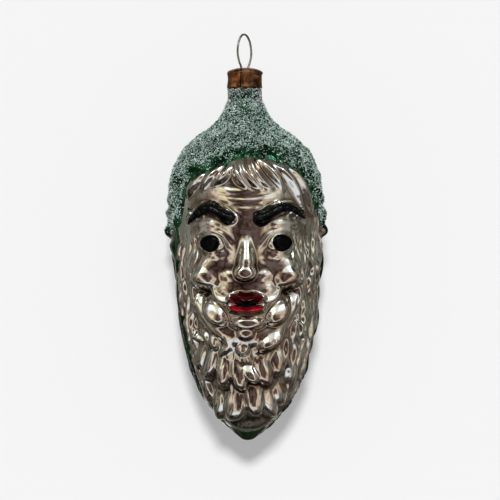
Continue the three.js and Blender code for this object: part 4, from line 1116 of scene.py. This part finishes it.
def chip_material():
    """Crushed clear glass: pale and dark shards that pick up the green beneath."""
    material, tree, shader = new_material("crushed_glass", Roughness=0.2, Specular_IOR_Level=0.4)
    tint = ramp(tree, attribute(tree, "shade"), [
        (0.0, (0.008, 0.020, 0.014)), (0.12, (0.060, 0.110, 0.080)), (0.30, (0.225, 0.350, 0.285)),
        (0.72, (0.440, 0.570, 0.510)), (1.0, (0.84, 0.90, 0.90))])
    grey_tint = ramp(tree, attribute(tree, "shade"), [
        (0.0, (0.07, 0.062, 0.07)), (0.3, (0.25, 0.245, 0.265)), (0.72, (0.45, 0.46, 0.49)),
        (1.0, (0.85, 0.87, 0.90))])
    share = math_node(tree, "MULTIPLY", attribute(tree, "lilac"), 0.75)
    tree.links.new(mix(tree, "MIX", share, tint, grey_tint), shader.inputs["Base Color"])
    return material


def enamel_material(name, dark, light, gloss=0.2):
    """Glossy enamel, brushed on unevenly. Where its darkening attribute is 1 it is black; on the upper lip
    that darkening is partly painted shade.
    """
    material, tree, shader = new_material(name, Roughness=0.08, Specular_IOR_Level=gloss)
    tint = ramp(tree, noise_at(tree, 400, 4), [(0.35, dark), (0.70, light)])
    tint = mix(tree, "MIX", attribute(tree, "blackening"), tint, (0.0005, 0.0005, 0.0005))
    tree.links.new(tint, shader.inputs["Base Color"])
    add_bump(tree, shader, noise_at(tree, 700, 3), 0.12, 0.0003)
    return material


# Half the width over which the cap's tone, its painted shade and its painted highlight change, in metres
CAP_REACH = 0.006


def cap_material():
    """Thin tinplate, browned and rusted, greyer to the right of its front slit, with painted shade along the
    slit and near its left edge and a painted highlight just right of the slit.
    """
    material, tree, shader = new_material("rusted_tinplate_painted_shade_and_glints", Metallic=0.6, Roughness=0.4)
    tint = ramp(tree, noise_at(tree, 420, 6, 0.65, 0.8), [
        (0.28, (0.010, 0.006, 0.004)), (0.42, (0.060, 0.028, 0.014)), (0.54, (0.190, 0.085, 0.032)),
        (0.70, (0.420, 0.290, 0.220))])
    # Brighter patches over the rust: partly tone that differs at random, partly painted highlights
    tone_and_glint_patches = ramp(tree, noise_at(tree, 190, 2), [
        (0.38, (0.40, 0.34, 0.30)), (0.50, (1.0, 0.92, 0.80)), (0.64, (1.9, 1.8, 1.75))])
    tint = mix(tree, "MULTIPLY", 1.0, tint, tone_and_glint_patches)
    place = add_node(tree, "ShaderNodeTexCoord").outputs["Object"]
    across = map_range(tree, axis_of(tree, place, "X"), -CAP_REACH, CAP_REACH)
    # Across the cap: painted shade near its left edge, orange rust, painted shade along the slit, a painted
    # highlight just right of it, then greyer tones
    two_tone_slit_shade_and_glint = ramp(tree, across.outputs["Result"], [
        (0.0, (0.75, 0.62, 0.46)), (0.22, (1.25, 1.0, 0.66)), (0.385, (1.15, 0.92, 0.66)),
        (0.40, (0.22, 0.20, 0.19)), (0.48, (1.45, 1.35, 1.40)), (0.62, (1.15, 1.0, 0.95)),
        (0.74, (0.55, 0.48, 0.42)), (1.0, (1.0, 0.72, 0.40))])
    tree.links.new(mix(tree, "MULTIPLY", 1.0, tint, two_tone_slit_shade_and_glint), shader.inputs["Base Color"])
    rough = ramp(tree, noise_at(tree, 700, 4), [(0.35, grey(0.20)), (0.70, grey(0.45))])
    tree.links.new(rough, shader.inputs["Roughness"])
    add_bump(tree, shader, noise_at(tree, 700, 3), 0.3, 0.0003)
    return material


def wire_material():
    material, tree, shader = new_material("dull_steel_wire", Metallic=1.0, Roughness=0.3)
    tint = ramp(tree, noise_at(tree, 700, 4), [(0.35, (0.30, 0.27, 0.23)), (0.65, (0.62, 0.61, 0.58))])
    tree.links.new(tint, shader.inputs["Base Color"])
    return material


def dress(obj, material):
    obj.data.materials.clear()
    obj.data.materials.append(material)


glass = make_glass()
lacquer = make_lacquer()
hood = make_hood()
chips = make_chips()
paints = [
    make_paint("left_brow_enamel", "left_brow_paint", LEFT_BROW, THICK_PAINT),
    make_paint("right_brow_enamel", "right_brow_paint", RIGHT_BROW, THICK_PAINT),
    make_paint("left_eye_enamel", "left_eye_paint", eye_outline(-1)),
    make_paint("right_eye_enamel", "right_eye_paint", eye_outline(1)),
    # The upper lip is darkened all over as painted shade and black in the mouth's gap
    make_paint("upper_lip_enamel", "upper_lip_paint", UPPER_LIP, LIP_PAINT, between_lips),
    make_paint("lower_lip_enamel", "lower_lip_paint", LOWER_LIP, LIP_PAINT),
]
cap = make_cap()
wire = make_wire()

silver = silver_material()
green = lacquer_material(
    "green_over_silver",
    thin=(0.040, 0.150, 0.060), middle=(0.014, 0.060, 0.024), thick=(0.004, 0.018, 0.008))
bright_green = lacquer_material(
    "hood_green",
    thin=(0.080, 0.260, 0.130), middle=(0.010, 0.060, 0.026), thick=(0.001, 0.008, 0.004))
black = enamel_material("black_enamel", (0.0005, 0.0005, 0.0008), (0.002, 0.002, 0.003), 0.24)
pupil = enamel_material("pupil_enamel", (0.0004, 0.0004, 0.0005), (0.001, 0.001, 0.0014), 0.07)
red = enamel_material("red_enamel", (0.05, 0.001, 0.003), (0.38, 0.006, 0.014))
# The upper lip's enamel: a darker copy of the red, as painted shade of a lip that faces down
shaded_red = enamel_material("shaded_red_enamel", (0.004, 0.0004, 0.0006), (0.16, 0.002, 0.004), 0.1)
dress(glass, silver)
dress(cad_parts["silver_lining"], silver)
dress(lacquer, green)
dress(hood, bright_green)
dress(chips, chip_material())
for paint, enamel in zip(paints, (black, black, pupil, pupil, shaded_red, red)):
    dress(paint, enamel)
dress(cap, cap_material())
dress(wire, wire_material())


# Stage, light and camera
VIEW_CENTRE = Vector((1.1, 0, -62.2)) * MM
VIEW_DISTANCE = 0.7
VIEW_WIDTH = 0.145
VIEW_ROLL = 0.5
WALL_Y = 24 * MM
WALL_SIZE = 1.5
BACKGROUND = 0.913
WALL_GLOW = 0.27
WALL_SHADE = 0.62
FLOOR_Z = -150 * MM
FLOOR_GLOW = 0.60
FILL_LIGHT = 0.27
SUN_STRENGTH = 2.6
SUN_HEIGHT = 20
SUN_SOFTNESS = 8


def board_material(name, glow):
    """Matt pale board. Its back isn't there, so that it hides nothing from behind."""
    material, tree, shader = new_material(
        name, Roughness=1.0, Specular_IOR_Level=0.0, Base_Color=(*grey(WALL_SHADE), 1),
        Emission_Color=(1, 1, 1, 1), Emission_Strength=glow)
    side = add_node(tree, "ShaderNodeNewGeometry")
    clear = add_node(tree, "ShaderNodeBsdfTransparent")
    switch = add_node(tree, "ShaderNodeMixShader")
    tree.links.new(side.outputs["Backfacing"], switch.inputs["Fac"])
    tree.links.new(shader.outputs["BSDF"], switch.inputs[1])
    tree.links.new(clear.outputs["BSDF"], switch.inputs[2])
    tree.links.new(switch.outputs["Shader"], tree.nodes["Material Output"].inputs["Surface"])
    return material


def make_boards():
    """The backdrop close behind the ornament, and the floor below it."""
    far = WALL_SIZE
    corners = {
        "backdrop": [(-far, WALL_Y, -far), (far, WALL_Y, -far), (far, WALL_Y, far), (-far, WALL_Y, far)],
        "floor": [(-far, -far, FLOOR_Z), (far, -far, FLOOR_Z), (far, far, FLOOR_Z), (-far, far, FLOOR_Z)],
    }
    for name, glow in (("backdrop", WALL_GLOW), ("floor", FLOOR_GLOW)):
        mesh = bpy.data.meshes.new(name)
        mesh.from_pydata(corners[name], [], [(0, 1, 2, 3)])
        board = bpy.data.objects.new(name, mesh)
        bpy.context.scene.collection.objects.link(board)
        board.data.materials.append(board_material(name + "_board", glow))
        board.visible_diffuse = False
        board.visible_glossy = False
        board.visible_transmission = False
        board.visible_shadow = False


def direction(azimuth, height):
    """Unit vector towards a place in the room: azimuth from the front, positive towards +X."""
    a, h = math.radians(azimuth), math.radians(height)
    return Vector((math.sin(a) * math.cos(h), -math.cos(a) * math.cos(h), math.sin(h)))


def along(tree, ray, axis):
    """How far a ray goes along an axis."""
    dot = tree.nodes.new("ShaderNodeVectorMath")
    dot.operation = "DOT_PRODUCT"
    dot.inputs[1].default_value = axis
    tree.links.new(ray, dot.inputs[0])
    return dot.outputs["Value"]


def window(tree, ray, azimuth, height, half_across, half_up, softness):
    """How much a ray looks at a soft-edged rectangle in the room, from 0 to 1. Sizes are in degrees."""
    ahead = direction(azimuth, height)
    across = direction(azimuth + 90, 0)
    share = math_node(tree, "GREATER_THAN", along(tree, ray, ahead), 0.0)
    for axis, half in ((across, half_across), (ahead.cross(across), half_up)):
        off = math_node(tree, "ABSOLUTE", along(tree, ray, axis))
        reach = math.sin(math.radians(half))
        fade = map_range(tree, off, reach * (1 + softness), reach * (1 - softness))
        fade.interpolation_type = "SMOOTHSTEP"
        share = math_node(tree, "MULTIPLY", share, fade.outputs["Result"])
    return share


# Bright windows of the room: azimuth, height, half width, half height, softness, colour and strength
WINDOWS = [
    (-35, 42, 13, 12, 0.2, (0.74, 0.87, 1.0), 1.7),
    (37, 42, 13, 12, 0.2, (0.78, 0.90, 1.0), 1.6),
    (-10, 44, 8, 11, 0.5, (0.95, 1.0, 0.50), 1.05),
    (11, 43, 9, 11, 0.5, (0.82, 0.93, 1.0), 0.95),
    (-38, 18, 5, 7, 0.4, (0.98, 1.0, 0.55), 1.0),
    (36, 16, 5, 7, 0.4, (0.80, 0.92, 1.0), 1.0),
    (-66, 10, 5, 24, 0.4, (1.0, 0.97, 0.93), 0.30),
    (62, 8, 5, 24, 0.4, (1.0, 0.97, 0.90), 0.30),
    (-6, -46, 26, 9, 0.4, (0.86, 0.93, 1.0), 0.9),
]
# A lamp in the middle of each of the first windows, as a share of its size
CORES = 2
CORE_SHARE = 0.3
CORE_SOFTNESS = 0.3
CORE_STRENGTH = 14.0


def make_world():
    """Pale to the camera; to the ornament a furnished room, dim straight ahead and pale behind."""
    world = bpy.data.worlds.new("room")
    bpy.context.scene.world = world
    world.use_nodes = True
    tree = world.node_tree
    room = tree.nodes["Background"]
    ray = add_node(tree, "ShaderNodeTexCoord").outputs["Generated"]
    depth = map_range(tree, axis_of(tree, ray, "Y"), -1.0, 1.0)
    around = ramp(tree, depth.outputs["Result"], [
        (0.0, (0.120, 0.090, 0.094)), (0.05, (0.190, 0.150, 0.140)), (0.10, (0.74, 0.67, 0.55)),
        (0.17, (0.72, 0.68, 0.60)), (0.25, (0.28, 0.262, 0.24)), (0.36, (0.185, 0.178, 0.155)),
        (0.52, (0.12, 0.118, 0.102)), (0.70, (0.17, 0.168, 0.155)), (0.90, (0.26, 0.26, 0.245)),
        (0.98, (0.90, 0.90, 0.89))])
    noise = add_node(tree, "ShaderNodeTexNoise", Scale=2.2, Detail=2.5, Roughness=0.5, Distortion=1.0)
    tree.links.new(ray, noise.inputs["Vector"])
    clutter = ramp(tree, noise.outputs["Fac"], [
        (0.36, (0.22, 0.17, 0.15)), (0.45, (0.72, 0.60, 0.56)), (0.53, (1.0, 0.98, 0.92)),
        (0.66, (1.35, 1.38, 1.40))])
    light = mix(tree, "MULTIPLY", 1.0, around, clutter)
    level = map_range(tree, axis_of(tree, ray, "Z"), -1.0, 1.0)
    table = ramp(tree, level.outputs["Result"], [(0.0, grey(0.35)), (0.12, grey(0.5)), (0.28, grey(1.0))])
    light = mix(tree, "MULTIPLY", 1.0, light, table)
    for *place, softness, colour, strength in WINDOWS:
        share = window(tree, ray, *place, softness)
        light = mix(tree, "MIX", share, light, tuple(strength * c for c in colour))
    for azimuth, height, half_across, half_up, *_ in WINDOWS[:CORES]:
        share = window(
            tree, ray, azimuth, height, CORE_SHARE * half_across, CORE_SHARE * half_up, CORE_SOFTNESS)
        light = mix(tree, "ADD", share, light, grey(CORE_STRENGTH))
    tree.links.new(light, room.inputs["Color"])
    pale = add_node(tree, "ShaderNodeBackground", Color=(*grey(BACKGROUND), 1))
    fill = add_node(tree, "ShaderNodeBackground", Color=(*grey(FILL_LIGHT), 1))
    rays = add_node(tree, "ShaderNodeLightPath")
    mirrored = add_node(tree, "ShaderNodeMixShader")
    tree.links.new(rays.outputs["Is Glossy Ray"], mirrored.inputs["Fac"])
    tree.links.new(fill.outputs["Background"], mirrored.inputs[1])
    tree.links.new(room.outputs["Background"], mirrored.inputs[2])
    seen = add_node(tree, "ShaderNodeMixShader")
    direct = math_node(tree, "ADD", rays.outputs["Is Camera Ray"], rays.outputs["Is Transmission Ray"])
    tree.links.new(direct, seen.inputs["Fac"])
    tree.links.new(mirrored.outputs["Shader"], seen.inputs[1])
    tree.links.new(pale.outputs["Background"], seen.inputs[2])
    tree.links.new(seen.outputs["Shader"], tree.nodes["World Output"].inputs["Surface"])


def make_sun():
    """Soft key light from above the camera, which throws the shadow on the backdrop."""
    data = bpy.data.lights.new("key", "SUN")
    data.energy = SUN_STRENGTH
    data.angle = math.radians(SUN_SOFTNESS)
    lamp = bpy.data.objects.new("key", data)
    lamp.rotation_euler = (-direction(0, SUN_HEIGHT)).to_track_quat("-Z", "Y").to_euler()
    lamp.visible_glossy = False
    bpy.context.scene.collection.objects.link(lamp)


def make_camera():
    data = bpy.data.cameras.new("photo_view")
    data.sensor_width = 36
    data.lens = data.sensor_width * VIEW_DISTANCE / VIEW_WIDTH
    data.clip_start = 0.01
    camera = bpy.data.objects.new("photo_view", data)
    bpy.context.scene.collection.objects.link(camera)
    camera.location = VIEW_CENTRE + Vector((0, -VIEW_DISTANCE, 0))
    camera.rotation_euler = (math.radians(90), math.radians(VIEW_ROLL), 0)
    bpy.context.scene.camera = camera


make_boards()
make_world()
make_sun()
make_camera()
bpy.context.scene.view_settings.view_transform = "Standard"
